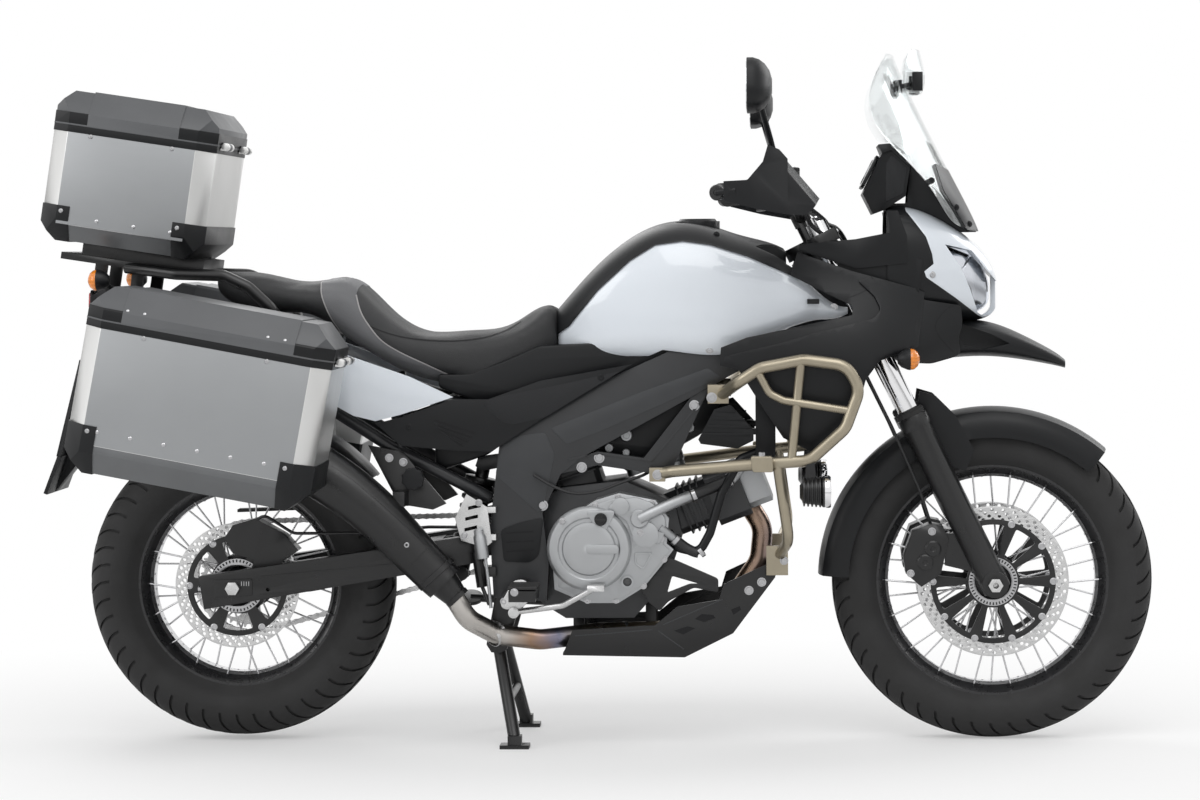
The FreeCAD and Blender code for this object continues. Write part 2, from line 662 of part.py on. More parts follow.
def front_axle():
    reach = FORK_HALF_SPACING + 40
    shape = axle_with_nuts(FRONT_AXLE_X, FRONT_AXLE_Z, reach, 15.0)
    collar = ring_y(FRONT_AXLE_X, FRONT_AXLE_Z, 15.0, AXLE_R, FRONT_DISC_Y - DISC_T / 2 + 1, FORK_HALF_SPACING - 29.5)
    shape = fuse([shape, collar, mirrored(collar)])
    return shape.cut(pin(FRONT_AXLE_X, FRONT_AXLE_Z, 6.0, -reach - 5, -reach + 30))


def caliper(outline, x, z, disc_r, y0, y1, disc_y):
    body = prism(outline, y0, y1)
    gap = DISC_T / 2 + 5.0
    return body.cut(pin(x, z, disc_r + 6, disc_y - gap, disc_y + gap))


def front_calipers():
    outline = [(687, 452), (712, 447), (724, 419), (708, 349), (668, 322), (636, 350), (632, 385), (650, 436)]
    shape = caliper(outline, FRONT_AXLE_X, FRONT_AXLE_Z, FRONT_DISC_R, -98, -40, -FRONT_DISC_Y)
    return both(shape.cut(lower_shape))


def front_fender():
    """A guard round the tyre from ahead of the fork to behind it."""
    outer = [(296, 73), (330, 71), (349, 58), (356, 30), (358, 0)]
    inner = [(353, 0), (351, 28), (344, 54), (327, 66.5), (296, 68.5)]
    right = [(r, -y) for r, y in reversed(inner)][:-1]
    profile = outer + [(r, -y) for r, y in reversed(outer)][1:] + right + inner
    clean = []
    for point in profile:
        if not clean or point != clean[-1]:
            clean.append(point)
    guard = revolve_y(clean, FRONT_AXLE_X, FRONT_AXLE_Z, 49.0, 129.0)
    ear = [(667, 722), (700, 712), (740, 672), (778, 600), (760, 557), (722, 571), (690, 640), (655, 640)]
    ears = [prism(ear, side * 74.0 - 3.0, side * 74.0 + 3.0) for side in (-1, 1)]
    return fuse([guard] + ears).cut(lower_shape)


# Engine and exhaust

CASE_SIDE = [(-130, 330), (-130, 480), (-70, 530), (60, 545), (165, 500), (180, 430), (150, 340), (80, 262),
             (-60, 262), (-108, 292)]
COVER_SIDE = [(-84, 411), (-77, 458), (7, 509), (54, 523), (128, 508), (155, 471), (150, 420), (164, 408),
              (145, 382), (103, 331), (51, 299), (-14, 299), (-79, 327)]
CLUTCH_X = -7.0
CLUTCH_Z = 412.0
GENERATOR_X = 45.0
GENERATOR_Z = 410.0


BANK_FRONT = (150.0, 466.0, 21.0)
BANK_REAR = (-26.0, 520.0, 108.0)
BANK_SECTIONS = [(-20.0, 100.0, 46.0, 64.0), (96.0, 166.0, 56.0, 86.0)]
BANK_COVER = (166.4, 214.0, 46.0, 78.0)


def bank_place(shape, bank):
    """A shape whose x runs along a cylinder bank, moved to that bank."""
    x, z, slope = bank
    shape = shape.copy()
    shape.rotate(V(0, 0, 0), V(0, 1, 0), -slope)
    shape.translate(V(x, 0, z))
    return shape


def bank_block(start, end, half_long, half_wide):
    """One stage of a bank with its four long corners cut."""
    cut = 12.0
    plan = [(-half_wide, -half_long + cut), (-half_wide + cut, -half_long), (half_wide - cut, -half_long),
            (half_wide, -half_long + cut), (half_wide, half_long - cut), (half_wide - cut, half_long),
            (-half_wide + cut, half_long), (-half_wide, half_long - cut)]
    corners = [V(start, y, z) for y, z in plan]
    return Part.Face(Part.makePolygon(corners + corners[:1])).extrude(V(end - start, 0, 0))


def bank_fins(half_long, half_wide):
    """Shallow cooling ribs round a barrel."""
    return [bank_block(x, x + 4.0, half_long, half_wide) for x in (34.0, 48.0, 62.0, 76.0)]


def engine_case():
    """Crankcase, sump and the two banks' barrels and heads."""
    block = prism(CASE_SIDE, -111, 62)
    left = prism(CASE_SIDE, 61, 101).common(box(-38, 300, 50, 120, 200, 600))
    sump = prism([(-67, 292), (66, 292), (51, 258), (-43, 258)], -70, 60)
    banks = []
    for bank in (BANK_FRONT, BANK_REAR):
        stages = [bank_block(*stage) for stage in BANK_SECTIONS] + bank_fins(52.0, 70.0)
        banks.append(bank_place(fuse(stages), bank))
    return fuse([block, left, sump] + banks)


def engine_covers():
    """Clutch and generator covers with stepped rims, cam covers and the water pump's pipe."""
    right = prism(COVER_SIDE, -166, -111.4)
    rim = prism([(x * 0.93 + 3, z * 0.93 + 28) for x, z in COVER_SIDE], -172, -165)
    steps = [(0, -171), (86, -171), (86, -181), (80, -188), (64, -190), (61, -187), (55, -187), (52, -192),
             (0, -194)]
    clutch = revolve_y(steps, CLUTCH_X, CLUTCH_Z)
    filler = pin(58, 498, 17.0, -186, -160)
    pump = pin(108, 440, 26.0, -186, -165)
    left = prism(COVER_SIDE, 101.4, 156)
    stator = revolve_y([(0, 155), (76, 155), (76, 168), (68, 178), (30, 182), (0, 183)], GENERATOR_X, GENERATOR_Z)
    pipe = tube([(112, -150, 452), (116, -150, 480), (196, -150, 514), (284, -144, 548), (318, -130, 590)], 9.5, 24)
    cams = [bank_place(bank_block(*BANK_COVER), bank) for bank in (BANK_FRONT, BANK_REAR)]
    right_cover = fuse([right, rim, clutch, filler, pump, pipe])
    return Part.makeCompound([right_cover.cut(engine_shape), fuse([left, stator])] +
                             [cam.cut(frame_shape).cut(header_shape) for cam in cams])


def exhaust_header():
    return tube([(310, -20, 495), (345, -20, 440), (338, -22, 372), (262, -30, 262), (170, -45, 228),
                 (0, -70, 226), (-113, -112, 218), (-202, -122, 230), (-256, -176, 268), (-285, -190, 320)], 21.0, 60).cut(engine_shape)


def round_loft(stations, ruled=False):
    """A solid through circles square to the line of their centres."""
    rings = []
    for i, (centre, radius) in enumerate(stations):
        before = V(*stations[max(i - 1, 0)][0])
        after = V(*stations[min(i + 1, len(stations) - 1)][0])
        rings.append(Part.Wire(Part.makeCircle(radius, V(*centre), after - before)))
    return Part.makeLoft(rings, True, ruled)


def muffler():
    y = -190
    body = round_loft([((-300, y, 343), 42), ((-400, y, 446), 48), ((-500, y, 535), 53), ((-600, y, 598), 55),
                       ((-700, y, 654), 56), ((-800, y, 709), 56), ((-860, y, 742), 54)])
    cone = round_loft([((-276, y, 313), 24), ((-330, y, 374), 41)], True)
    outlet = rod(V(-855, y, 739), V(-890, y, 758), 24)
    return fuse([body, cone, outlet]).cut(header_shape)


def radiator():
    """Core with end tanks, brackets to the frame, side grilles and the lower hose."""
    core = box(338, 366, -128, 128, 592, 772)
    tanks = [box(332, 372, side * 139 - 12, side * 139 + 12, 588, 776) for side in (-1, 1)]
    tabs = [box(322, 345, side * 127 - 11, side * 127 + 11, 755, 800) for side in (-1, 1)]
    body = fuse([core] + tanks + tabs).cut(frame_shape)
    grille = prism([(216, 631), (249, 692), (282, 701), (328, 650), (328, 628), (295, 612), (221, 622)], -164, -158)
    stay = box(300, 334, -160, -140, 640, 652)
    grille = fuse([grille, stay])
    hose = tube([(338, -132, 604), (300, -150, 590), (262, -158, 520), (238, -158, 440), (216, -158, 400),
                 (170, -150, 410), (154, -130, 440)], 9.0, 24)
    hose = hose.cut(engine_shape).cut(covers_shape).cut(header_shape)
    return fuse([body, hose, grille.cut(crash_shape), mirrored(grille).cut(crash_shape)]).cut(crash_shape)


def skid_plate():
    bottom = [(-66, 188), (184, 183), (283, 232), (370, 347), (376, 372), (366, 372), (278, 238), (182, 188),
              (-66, 193)]
    floor = prism(bottom, -128, 128)
    side = prism([(-66, 188), (184, 183), (283, 232), (370, 347), (351, 373), (265, 333), (255, 301), (170, 287),
                  (123, 249), (-46, 240)], -132, -127)
    posts = [box(x, x + 22, y, y + 18, 189, 320) for x, y in ((-50, 60), (-50, -32), (100, 60), (100, -20))]
    return fuse([floor, side, mirrored(side)] + posts).cut(engine_shape)


def crash_bars():
    loop = tube([(132, -150, 560), (163, -170, 567), (342, -228, 585), (440, -246, 592), (512, -254, 657),
                 (541, -254, 735), (515, -252, 782), (430, -248, 794), (343, -244, 778), (300, -234, 750),
                 (262, -156, 720)], 12.0, 45)
    leg = tube([(376, -234, 588), (398, -214, 430), (380, -140, 395)], 11.0, 40)
    strut = rod(V(404, -240, 592), V(424, -248, 790), 9.0)
    inner = tube([(339, -243, 768), (361, -244, 727), (389, -246, 713), (520, -254, 692)], 8.0, 30)
    foot = box(352, 396, -144, -132.3, 352, 412)
    feet = [box(116, 148, -166, -142.4, 546, 574), box(236, 278, -170, -142.4, 704, 742)]
    return both(fuse([loop, leg, strut, inner, foot] + feet))


def fog_lamps():
    body = Part.makeCylinder(30, 62, V(420, -246, 530), V(1, 0, 0))
    stem = box(432, 452, -254, -238, 555, 590)
    return both(fuse([body, stem]).cut(crash_shape))


# Bodywork

def spar_room():
    """The room kept free for the spars below the tank."""
    outline = [(360, 905), (143, 812), (-120, 696), (-120, 640), (360, 640)]
    return prism(outline, -147, 147)


TANK_STATIONS = [(-72, 76, 893, 845, 796), (-20, 118, 955, 865, 782), (50, 148, 1020, 885, 776),
                 (154, 166, 1068, 890, 778), (250, 172, 1058, 890, 772), (330, 172, 1034, 890, 800),
                 (400, 168, 1008, 895, 840), (470, 163, 930, 895, 862), (520, 158, 900, 890, 880)]
TANK_COVER_T = 3.0
TANK_SEAM = [(-84, 838), (-48, 861), (13, 934), (79, 994), (131, 1026), (187, 1033), (243, 1025), (317, 1001),
             (391, 968), (420, 954)]


def tank_hull(grow):
    """The tank's outer form, free of the spars, the fork's sweep and the bars' clamps."""
    stations = [(x - (grow if i == 0 else 0), w + grow, top + grow, mid, low)
                for i, (x, w, top, mid, low) in enumerate(TANK_STATIONS)]
    tank = hull(stations, 0.62)
    tank = tank.cut(spar_room())
    tank = tank.cut(box(-130, 600, -140, 140, 700, 800))
    tank = tank.cut(steer_sweep(148, 62, 540, 900, 55))
    tank = tank.cut(box(396, 600, -146, 146, 700, 1100))
    return tank.cut(frame_shape)


def fuel_tank():
    return max(tank_hull(0.0).Solids, key=lambda s: s.Volume)


def tank_cover():
    """A thin black cover over the tank's top, down to the painted flanks' seam, with the filler cap."""
    above = TANK_SEAM + [(420, 1120), (-84, 1120)]
    skin = tank_hull(TANK_COVER_T).cut(tank_shape).common(prism(above, -200, 200))
    skin = max(skin.Solids, key=lambda s: s.Volume)
    cap_foot = 1058.0
    cap = Part.makeCylinder(46, 16, V(214, 0, cap_foot)).cut(tank_shape)
    lip = Part.makeCone(40, 36, 5, V(214, 0, cap_foot + 16))
    return fuse([skin, cap, lip])


def seat():
    stations = [(-75.5, 90, 896, 850, 799), (-100, 104, 908, 850, 782), (-160, 122, 866, 820, 756),
                (-230, 136, 848, 800, 736), (-311, 145, 844, 805, 750), (-393, 146, 863, 820, 776),
                (-450, 146, 912, 850, 808), (-490, 144, 950, 885, 832), (-560, 138, 954, 915, 882),
                (-650, 124, 961, 925, 897), (-740, 108, 973, 940, 914), (-782, 84, 982, 955, 934)]
    shape = hull(stations, 0.6)
    return shape.cut(frame_shape)


def side_panels():
    tail = prism([(-493, 805), (-371, 762), (-283, 720), (-390, 685), (-443, 672), (-488, 683), (-525, 704),
                  (-640, 770), (-800, 860), (-900, 915), (-900, 930), (-640, 862)], -154, -148)
    panel = prism([(82, 784), (-105, 752), (-212, 715), (-283, 716), (-390, 680), (-443, 667), (-391, 621),
                   (-284, 611), (-206, 608), (-106, 672)], -154, -148)
    link = box(-330, -290, -149, -118, 690, 705)
    return tail, fuse([panel, link])


def side_cowls():
    outline = [(261, 782), (300, 772), (352, 690), (388, 635), (452, 603), (485, 615), (536, 688), (554, 752),
               (582, 789), (660, 815), (676, 925), (655, 934), (527, 970), (419, 1008), (405, 962), (474, 926),
               (528, 900), (528, 881), (409, 857), (316, 838), (264, 818)]
    wall = sheet_loft([(240, [(-172, 590), (-192, 700), (-196, 790), (-190, 850), (-180, 930), (-168, 1010)]),
                       (400, [(-192, 590), (-214, 700), (-222, 790), (-212, 850), (-186, 930), (-168, 1010)]),
                       (560, [(-190, 590), (-210, 700), (-216, 790), (-204, 850), (-174, 930), (-158, 1010)]),
                       (700, [(-120, 590), (-140, 700), (-150, 790), (-140, 850), (-122, 930), (-100, 1010)])], 5.0)
    clip = box(438, 462, -196, -150, 904, 914)
    return both(fuse([wall.common(prism(outline, -260, -80)), clip]).cut(tank_shape))


NOSE_OUT = [(600, 150, 1100, 980, 860), (680, 140, 1090, 985, 860), (750, 118, 1050, 975, 862),
            (800, 88, 1005, 955, 868), (826, 50, 955, 930, 890)]
NOSE_IN = [(596, 145, 1094, 980, 866), (680, 135, 1084, 985, 866), (748, 112, 1044, 975, 868),
           (795, 82, 1000, 955, 874), (816, 44, 950, 930, 896)]
NOSE_SIDE = [(637, 1130), (640, 1090), (679, 1037), (691, 1002), (694, 982), (675, 967), (679, 955), (740, 912),
             (787, 876), (816, 860), (850, 860), (850, 1130)]
LAMP_SIDE = [(718, 1021), (773, 1008), (804, 968), (840, 930), (840, 884), (800, 873), (786, 882), (769, 931),
             (750, 974)]


def nose_shell():
    shell = hull(NOSE_OUT, 0.7).cut(hull(NOSE_IN, 0.7))
    return shell.cut(steer_sweep(150, 150, 500, 900, 1)).cut(cowl_shape)


def nose_cowl():
    """The painted nose with an opening for each lamp beside its centre rib."""
    shell = nose_shell().common(prism(NOSE_SIDE, -200, 200))
    openings = [prism(LAMP_SIDE, -130, -13), prism(LAMP_SIDE, 13, 130)]
    return max(shell.cut(Part.makeCompound(openings)).Solids, key=lambda s: s.Volume)


def inner_cowls():
    """The black shell below and behind the painted nose, its side walls up to the instruments and their roof."""
    behind = nose_shell().cut(prism(NOSE_SIDE, -200, 200))
    behind = max(behind.Solids, key=lambda s: s.Volume)
    side = prism([(420, 1012), (424, 1024), (542, 1034), (606, 1046), (600, 1090), (622, 1090), (640, 1040),
                  (640, 984), (538, 974)], -152, -146)
    return [behind, side.cut(nose_full).cut(cowl_shape).cut(cockpit_shape).cut(tank_shape)]


def headlamp():
    """Twin lenses in one body behind the nose, with a groove down the middle."""
    body = hull([(700, 116, 1030, 950, 878), (748, 104, 1036, 955, 878), (792, 74, 990, 945, 884),
                 (811, 40, 946, 925, 904)], 0.7)
    return body.cut(box(700, 900, -4, 4, 860, 1050).cut(box(700, 742, -5, 5, 860, 1050)))


def beak():
    """The pointed guard below the lamps, with an air inlet through each cheek."""
    shape = hull([(690, 98, 866, 822, 784), (760, 97, 866, 824, 790), (821, 90, 858, 822, 790),
                  (880, 74, 834, 808, 783), (930, 52, 808, 790, 774), (968, 24, 782, 774, 765)], 0.7)
    inlet = prism([(736, 845), (757, 858), (812, 838), (850, 818), (794, 806), (757, 815)], -130, -62)
    shape = shape.cut(nose_full).cut(lamp_shape).cut(inlet).cut(mirrored(inlet))
    return max(shape.Solids, key=lambda s: s.Volume)


def screen_sheet(stations, thickness):
    """A bowed sheet; each station is z, the centre's x, the half width and the edge's x."""
    rings = []
    for z, centre, half, edge in stations:
        def curve(back):
            shoulder = centre - back - (centre - edge) * 0.25
            points = [V(edge - back, half, z), V(shoulder, half / 2, z), V(centre - back, 0, z),
                      V(shoulder, -half / 2, z), V(edge - back, -half, z)]
            line = Part.BSplineCurve()
            line.interpolate(points)
            return line.toShape(), points
        front, a = curve(0.0)
        rear, b = curve(thickness)
        left = Part.LineSegment(a[0], b[0]).toShape()
        right = Part.LineSegment(a[-1], b[-1]).toShape()
        rings.append(Part.Wire(Part.__sortEdges__([front, right, rear, left])))
    return Part.makeLoft(rings, True, False)


def windscreen():
    """The tall screen and, on its clamps, a small deflector ahead of its top."""
    screen = screen_sheet([(1048, 792, 70, 774), (1121, 758, 140, 702), (1230, 702, 176, 606),
                           (1320, 658, 184, 570), (1372, 634, 172, 586), (1408, 620, 118, 604)], 5.0)
    deflector = screen_sheet([(1330, 676, 90, 646), (1352, 684, 104, 640), (1385, 682, 104, 642),
                              (1419, 674, 74, 656)], 4.0)
    return Part.makeCompound([screen, deflector])


def cockpit():
    """The screen's carrier, the instrument housing between its plates and the deflector's clamps."""
    tower = prism([(640, 1046), (777, 1046), (746, 1121), (691, 1225), (660, 1225), (648, 1150)], -60, -52)
    fin = prism([(700, 1046), (788, 1046), (752, 1121), (697, 1228), (683, 1236), (640, 1200)], -5, 5)
    pod = prism([(553, 1126), (574, 1084), (596, 1092), (640, 1120), (650, 1180), (612, 1214), (593, 1208)],
                -84, 84)
    hood = prism([(593, 1208), (612, 1214), (650, 1180), (656, 1196), (616, 1228), (586, 1226)], -90, 90)
    shelf = box(600, 690, -60, 60, 1092, 1106)
    clamps = []
    for side in (-1, 1):
        clamps.append(rod(V(628, side * 80, 1342), V(668, side * 80, 1350), 5.0))
        clamps.append(box(616, 634, side * 80 - 9, side * 80 + 9, 1330, 1356))
        clamps.append(box(655, 676, side * 80 - 9, side * 80 + 9, 1334, 1372))
    body = fuse([tower, mirrored(tower), fin, pod, hood, shelf]).cut(frame_shape)
    body = max(body.cut(nose_full).cut(screen_shape).Solids, key=lambda s: s.Volume)
    grips = Part.makeCompound([fuse(clamps[:3]), fuse(clamps[3:])]).cut(screen_shape)
    return Part.makeCompound([body] + [s for s in grips.Solids if s.Volume > 2000])


def rear_fender():
    outer = [(352, 84), (358, 60), (361, 0)]
    profile = outer + [(358, -60), (352, -84), (347, -82), (353, -58), (356, 0), (353, 58), (347, 82)]
    guard = revolve_y(profile, REAR_AXLE_X, REAR_AXLE_Z, 38.0, 70.0)
    carrier = box(-568, -552, -40, 40, 632, 786)
    return fuse([guard, carrier]).cut(subframe_shape)


def tail():
    """The tail's underside, lamp and the arm that carries the blank plate and flap."""
    under = prism([(-600, 842), (-940, 942), (-1010, 950), (-1042, 930), (-1034, 905), (-960, 895), (-600, 800)],
                  -86, 86)
    arm = prism([(-1000, 908), (-1034, 908), (-1118, 600), (-1144, 524), (-1136, 522), (-1092, 575), (-1070, 640)],
                -26, 26)
    plate = prism([(-1058, 800), (-1066, 800), (-1118, 600), (-1110, 598)], -90, 90)
    flap = prism([(-1106, 600), (-1114, 600), (-1144, 524), (-1137, 521)], -100, 100)
    shape = fuse([under, arm, plate, flap])
    return shape.cut(subframe_shape)


def tail_rack():
    rail = tube([(-640, -118, 868), (-650, -152, 900), (-700, -160, 948), (-750, -160, 972), (-850, -150, 976),
                 (-960, -110, 990)], 12.0, 40)
    plate = placed(box(-130, 60, -120, 120, -40, -26), TOP_BOX_X, 0, TOP_BOX_Z, TOP_TILT)
    legs = [placed(box(a, a + 24, y, y + 16, low, -30), TOP_BOX_X, 0, TOP_BOX_Z, TOP_TILT)
            for a, y, low in ((-64, -84, -92), (20, -112, -108))]
    side = fuse([rail] + legs)
    shape = fuse([side, mirrored(side), plate])
    return shape.cut(subframe_shape).cut(tail_shape)


def top_box_mount():
    return placed(box(-88, 166, -118, 118, -25.6, -0.4), TOP_BOX_X, 0, TOP_BOX_Z, TOP_TILT)


# Luggage

def moved_in(outline, wall):
    """A convex outline with every side moved towards its middle by the wall."""
    middle = [sum(p[i] for p in outline) / len(outline) for i in (0, 1)]
    lines = []
    for (ax, ay), (bx, by) in zip(outline, outline[1:] + outline[:1]):
        size = math.hypot(bx - ax, by - ay)
        nx, ny = (by - ay) / size, (ax - bx) / size
        if nx * (middle[0] - ax) + ny * (middle[1] - ay) < 0:
            nx, ny = -nx, -ny
        lines.append((nx, ny, nx * ax + ny * ay + wall))
    corners = []
    for (a, b, e), (c, d, f) in zip(lines[-1:] + lines[:-1], lines):
        det = a * d - b * c
        corners.append(((e * d - b * f) / det, (a * f - e * c) / det))
    return corners


def case_solid(side, plan, front, wall):
    """What lies inside the side view, the view from above and the front view, each moved in by the wall."""
    shape = prism(moved_in(side, wall), -900, 900)
    base = [V(x, y, -50) for x, y in moved_in(plan, wall)]
    shape = shape.common(Part.Face(Part.makePolygon(base + base[:1])).extrude(V(0, 0, 600)))
    ends = [V(-400, y, z) for y, z in moved_in(front, wall)]
    return shape.common(Part.Face(Part.makePolygon(ends + ends[:1])).extrude(V(800, 0, 0)))


def case_plan(length, y0, y1, cut_low, cut_high):
    """A case from above, its upright corners cut at its lower and higher y side."""
    half = length / 2
    return [(-half, y0 + cut_low), (-half + cut_low, y0), (half - cut_low, y0), (half, y0 + cut_low),
            (half, y1 - cut_high), (half - cut_high, y1), (-half + cut_high, y1), (-half, y1 - cut_high)]


def high_edge(cut):
    """How high a sloped edge reaches for how far it goes in."""
    return cut * CASE_EDGE_RISE


def case_base(length, height, corner, y0, y1, cuts):
    half = length / 2
    solids = []
    for top, wall in ((height, 0.0), (height + 40, CASE_WALL)):
        side = [(-half, corner), (-half + corner, 0), (half - corner, 0), (half, corner), (half, top), (-half, top)]
        low, high = [c * CASE_FOOT_SHARE for c in cuts]
        front = [(y0, high_edge(low)), (y0 + low, 0), (y1 - high, 0), (y1, high_edge(high)), (y1, top), (y0, top)]
        solids.append(case_solid(side, case_plan(length, y0, y1, *cuts), front, wall))
    return solids[0].cut(solids[1])


def case_lid(length, height, corner, y0, y1, cuts):
    half = length / 2
    solids = []
    for foot, wall in ((0.0, 0.0), (-40.0, CASE_WALL)):
        side = [(-half, foot), (half, foot), (half, height - corner), (half - corner, height),
                (-half + corner, height), (-half, height - corner)]
        low, high = cuts
        front = [(y0, foot), (y1, foot), (y1, height - high_edge(high)), (y1 - high, height), (y0 + low, height),
                 (y0, height - high_edge(low))]
        solids.append(case_solid(side, case_plan(length, y0, y1, *cuts), front, wall))
    return solids[0].cut(solids[1])


def hinge_set(x, z, y_mid, width, reach_low, reach_high):
    """Two hinges: centre barrel on the lid, outer barrels and pin on the base, leaves back to both walls."""
    base = []
    lid = []
    for centre in (y_mid - width / 2, y_mid + width / 2):
        base.append(pin(x, z, HINGE_PIN_R, centre - 32, centre + 32))
        for y0 in (centre - 32, centre + 14):
            barrel = ring_y(x, z, HINGE_R, HINGE_PIN_R - 0.5, y0, y0 + 18)
            leaf = box(reach_low, x, y0, y0 + 18, z - HINGE_R, z - HINGE_R + 4)
            base += [barrel, leaf]
        middle = ring_y(x, z, HINGE_R, HINGE_PIN_R + RUN_FIT, centre - 13.5, centre + 13.5)
        leaf = box(reach_high, x, centre - 13.5, centre + 13.5, z + HINGE_R - 4, z + HINGE_R)
        leaf = leaf.cut(pin(x, z, HINGE_PIN_R + RUN_FIT, centre - 40, centre + 40))
        lid += [middle, leaf]
    return base, lid


def luggage(length, height, lid_height, corner, y0, y1, cuts, hinge_span):
    """A base and a lid with their hinges at the front end, in the box's own coordinates."""
    base = case_base(length, height, corner, y0, y1, cuts)
    lid = case_lid(length, lid_height - CASE_LID_GAP, corner, y0, y1, cuts)
    lid.translate(V(0, 0, height + CASE_LID_GAP))
    hx = length / 2 + HINGE_R + 4
    hz = height + CASE_LID_GAP / 2
    y_mid = (y0 + y1 + cuts[0] - cuts[1]) / 2
    base_hinge, lid_hinge = hinge_set(hx, hz, y_mid, hinge_span, length / 2 - 1, length / 2 - 1)
    return fuse([base] + base_hinge), fuse([lid] + lid_hinge)


def top_luggage():
    half = TOP_BOX_W / 2
    base, lid = luggage(TOP_BOX_L, TOP_BOX_H, TOP_LID_H, TOP_CORNER, -half, half, (CASE_EDGE, CASE_EDGE),
                        TOP_HINGE_SPAN)
    return [placed(s, TOP_BOX_X, 0, TOP_BOX_Z, TOP_TILT) for s in (base, lid)]


def side_luggage(side):
    y0, y1 = sorted((side * PANNIER_IN, side * (PANNIER_IN + PANNIER_W)))
    cuts = (CASE_EDGE, 4.0) if side < 0 else (4.0, CASE_EDGE)
    base, lid = luggage(PANNIER_L, PANNIER_H, PANNIER_LID_H, CASE_CORNER, y0, y1, cuts, PANNIER_HINGE_SPAN)
    return [placed(s, PANNIER_X, 0, PANNIER_Z, PANNIER_TILT) for s in (base, lid)]


def pannier_rack():
    y = -(PANNIER_IN - 12)
    rail = tube([(-560, y, 838), (-930, y, 908), (-938, y, 700)], 9.0, 30)
    arms = [rod(V(-600, -SUBFRAME_Y, 806), V(-600, y, 846), 8.0), rod(V(-900, -SUBFRAME_Y, 906), V(-900, y, 902), 8.0)]
    pads = [box(x - 14, x + 14, -PANNIER_IN + 0.4, y, z - 14, z + 14) for x, z in ((-620, 849), (-900, 902))]
    side = fuse([rail] + arms + pads)
    return both(side.cut(subframe_shape))


# Feet, stands and small parts

def footpegs():
    bracket = prism([(-190, 313), (-155, 348), (-135, 348), (-122, 318), (-147, 296), (-178, 296)], -196, -142.4)
    peg = prism([(-162, 316), (-108, 316), (-108, 338), (-162, 338)], -300, -195)
    rider = fuse([bracket, peg])
    plate = prism([(-462, 621), (-391, 607), (-303, 500), (-330, 488), (-400, 500)], -126, -115)
    passenger = fuse([plate, prism([(-372, 512), (-330, 512), (-330, 528), (-372, 528)], -225, -125)])
    right = fuse([plate, box(-404, -380, -200, -118, 500, 530)])
    return Part.makeCompound([rider, mirrored(rider), mirrored(passenger).cut(subframe_shape),
                              right.cut(subframe_shape).cut(muffler_shape)])


def pedals():
    """Brake and gear pedals, and the heel guards on their stays."""
    brake = fuse([tube([(-168, -200, 284), (-60, -204, 298), (5, -210, 334)], 6.0, 30),
                  box(-8, 26, -236, -196, 330, 342), pin(-160, 284, 11.0, -208, -142.4)])
    shift = fuse([tube([(-70, 198, 350), (0, 204, 322), (60, 208, 318)], 5.5, 30),
                  pin(58, 318, 8.0, 202, 238), pin(-70, 350, 9.0, 160.4, 204)])
    plate = prism([(-257, 523), (-215, 496), (-206, 424), (-220, 413), (-269, 428), (-281, 473)], -166, -162)
    slots = [prism([(x, z), (x + 26, z + 6), (x + 26, z + 13), (x, z + 7)], -170, -158)
             for x, z in ((-262, 446), (-260, 468), (-254, 490))]
    stays = [box(-222, -198, -163, -142.4, z, z + 12) for z in (428, 484)]
    heel = fuse([plate.cut(Part.makeCompound(slots))] + stays)
    return Part.makeCompound([brake.cut(peg_shape), shift.cut(peg_shape), heel, mirrored(heel)])


def stand_mounts():
    """Plates below the frame that carry the centre stand's bolts, and the side stand's lug."""
    plate = prism([(-206, 312), (-150, 312), (-184, 196), (-198, 188), (-216, 190), (-226, 206)], -97, -87)
    tie = box(-200, -160, -113, -87, 300, 312)
    side = fuse([plate, tie]).cut(frame_shape)
    bolt = pin(STAND_PIVOT_X, STAND_PIVOT_Z, 8.0, -100, 100)
    lug = prism([(-118, 350), (-101, 350), (-44, 268), (-50, 248), (-72, 248), (-112, 300)], 142.4, 154)
    lug = lug.fuse(Part.makeCylinder(12, 20, SIDE_PIVOT + SIDE_AXIS * 10, SIDE_AXIS))
    return fuse([side, mirrored(side), bolt]), lug


def centre_stand():
    x, z = STAND_PIVOT_X, STAND_PIVOT_Z
    foot_x = x + z * math.tan(math.radians(STAND_LEAN))
    tube_cross = ring_y(x, z, 15.0, 8.0 + RUN_FIT, -STAND_HALF_W, STAND_HALF_W)
    parts = [tube_cross]
    for side in (-1, 1):
        parts.append(rod(V(x, side * (STAND_HALF_W - 20), z), V(foot_x - 4, side * (STAND_FOOT_HALF_W - 4), 12), 13.0))
        parts.append(box(foot_x - 34, foot_x + 26, side * STAND_FOOT_HALF_W - 20, side * STAND_FOOT_HALF_W + 20, 0, 8))
        parts.append(box(foot_x - 18, foot_x + 10, side * STAND_FOOT_HALF_W - 14, side * STAND_FOOT_HALF_W + 14, 6, 26))
    mid = z * 0.45
    half = STAND_HALF_W - 16 + (STAND_FOOT_HALF_W - STAND_HALF_W + 12) * 0.55
    parts.append(pin(x + mid * 0.26, mid, 9.0, -half, half))
    tang = tube([(x + 30, 120, 80), (x + 10, 160, 92), (x - 40, 185, 110)], 7.0, 25)
    shape = fuse(parts)
    return shape.cut(pin(x, z, 8.0 + RUN_FIT, -120, 120))


SIDE_PIVOT = V(SIDE_STAND_X, 177, SIDE_STAND_Z)
SIDE_AXIS = V(-0.045, -0.90, -0.44).normalize()
SIDE_DIR = V(-0.998, 0.026, 0.05).normalize()


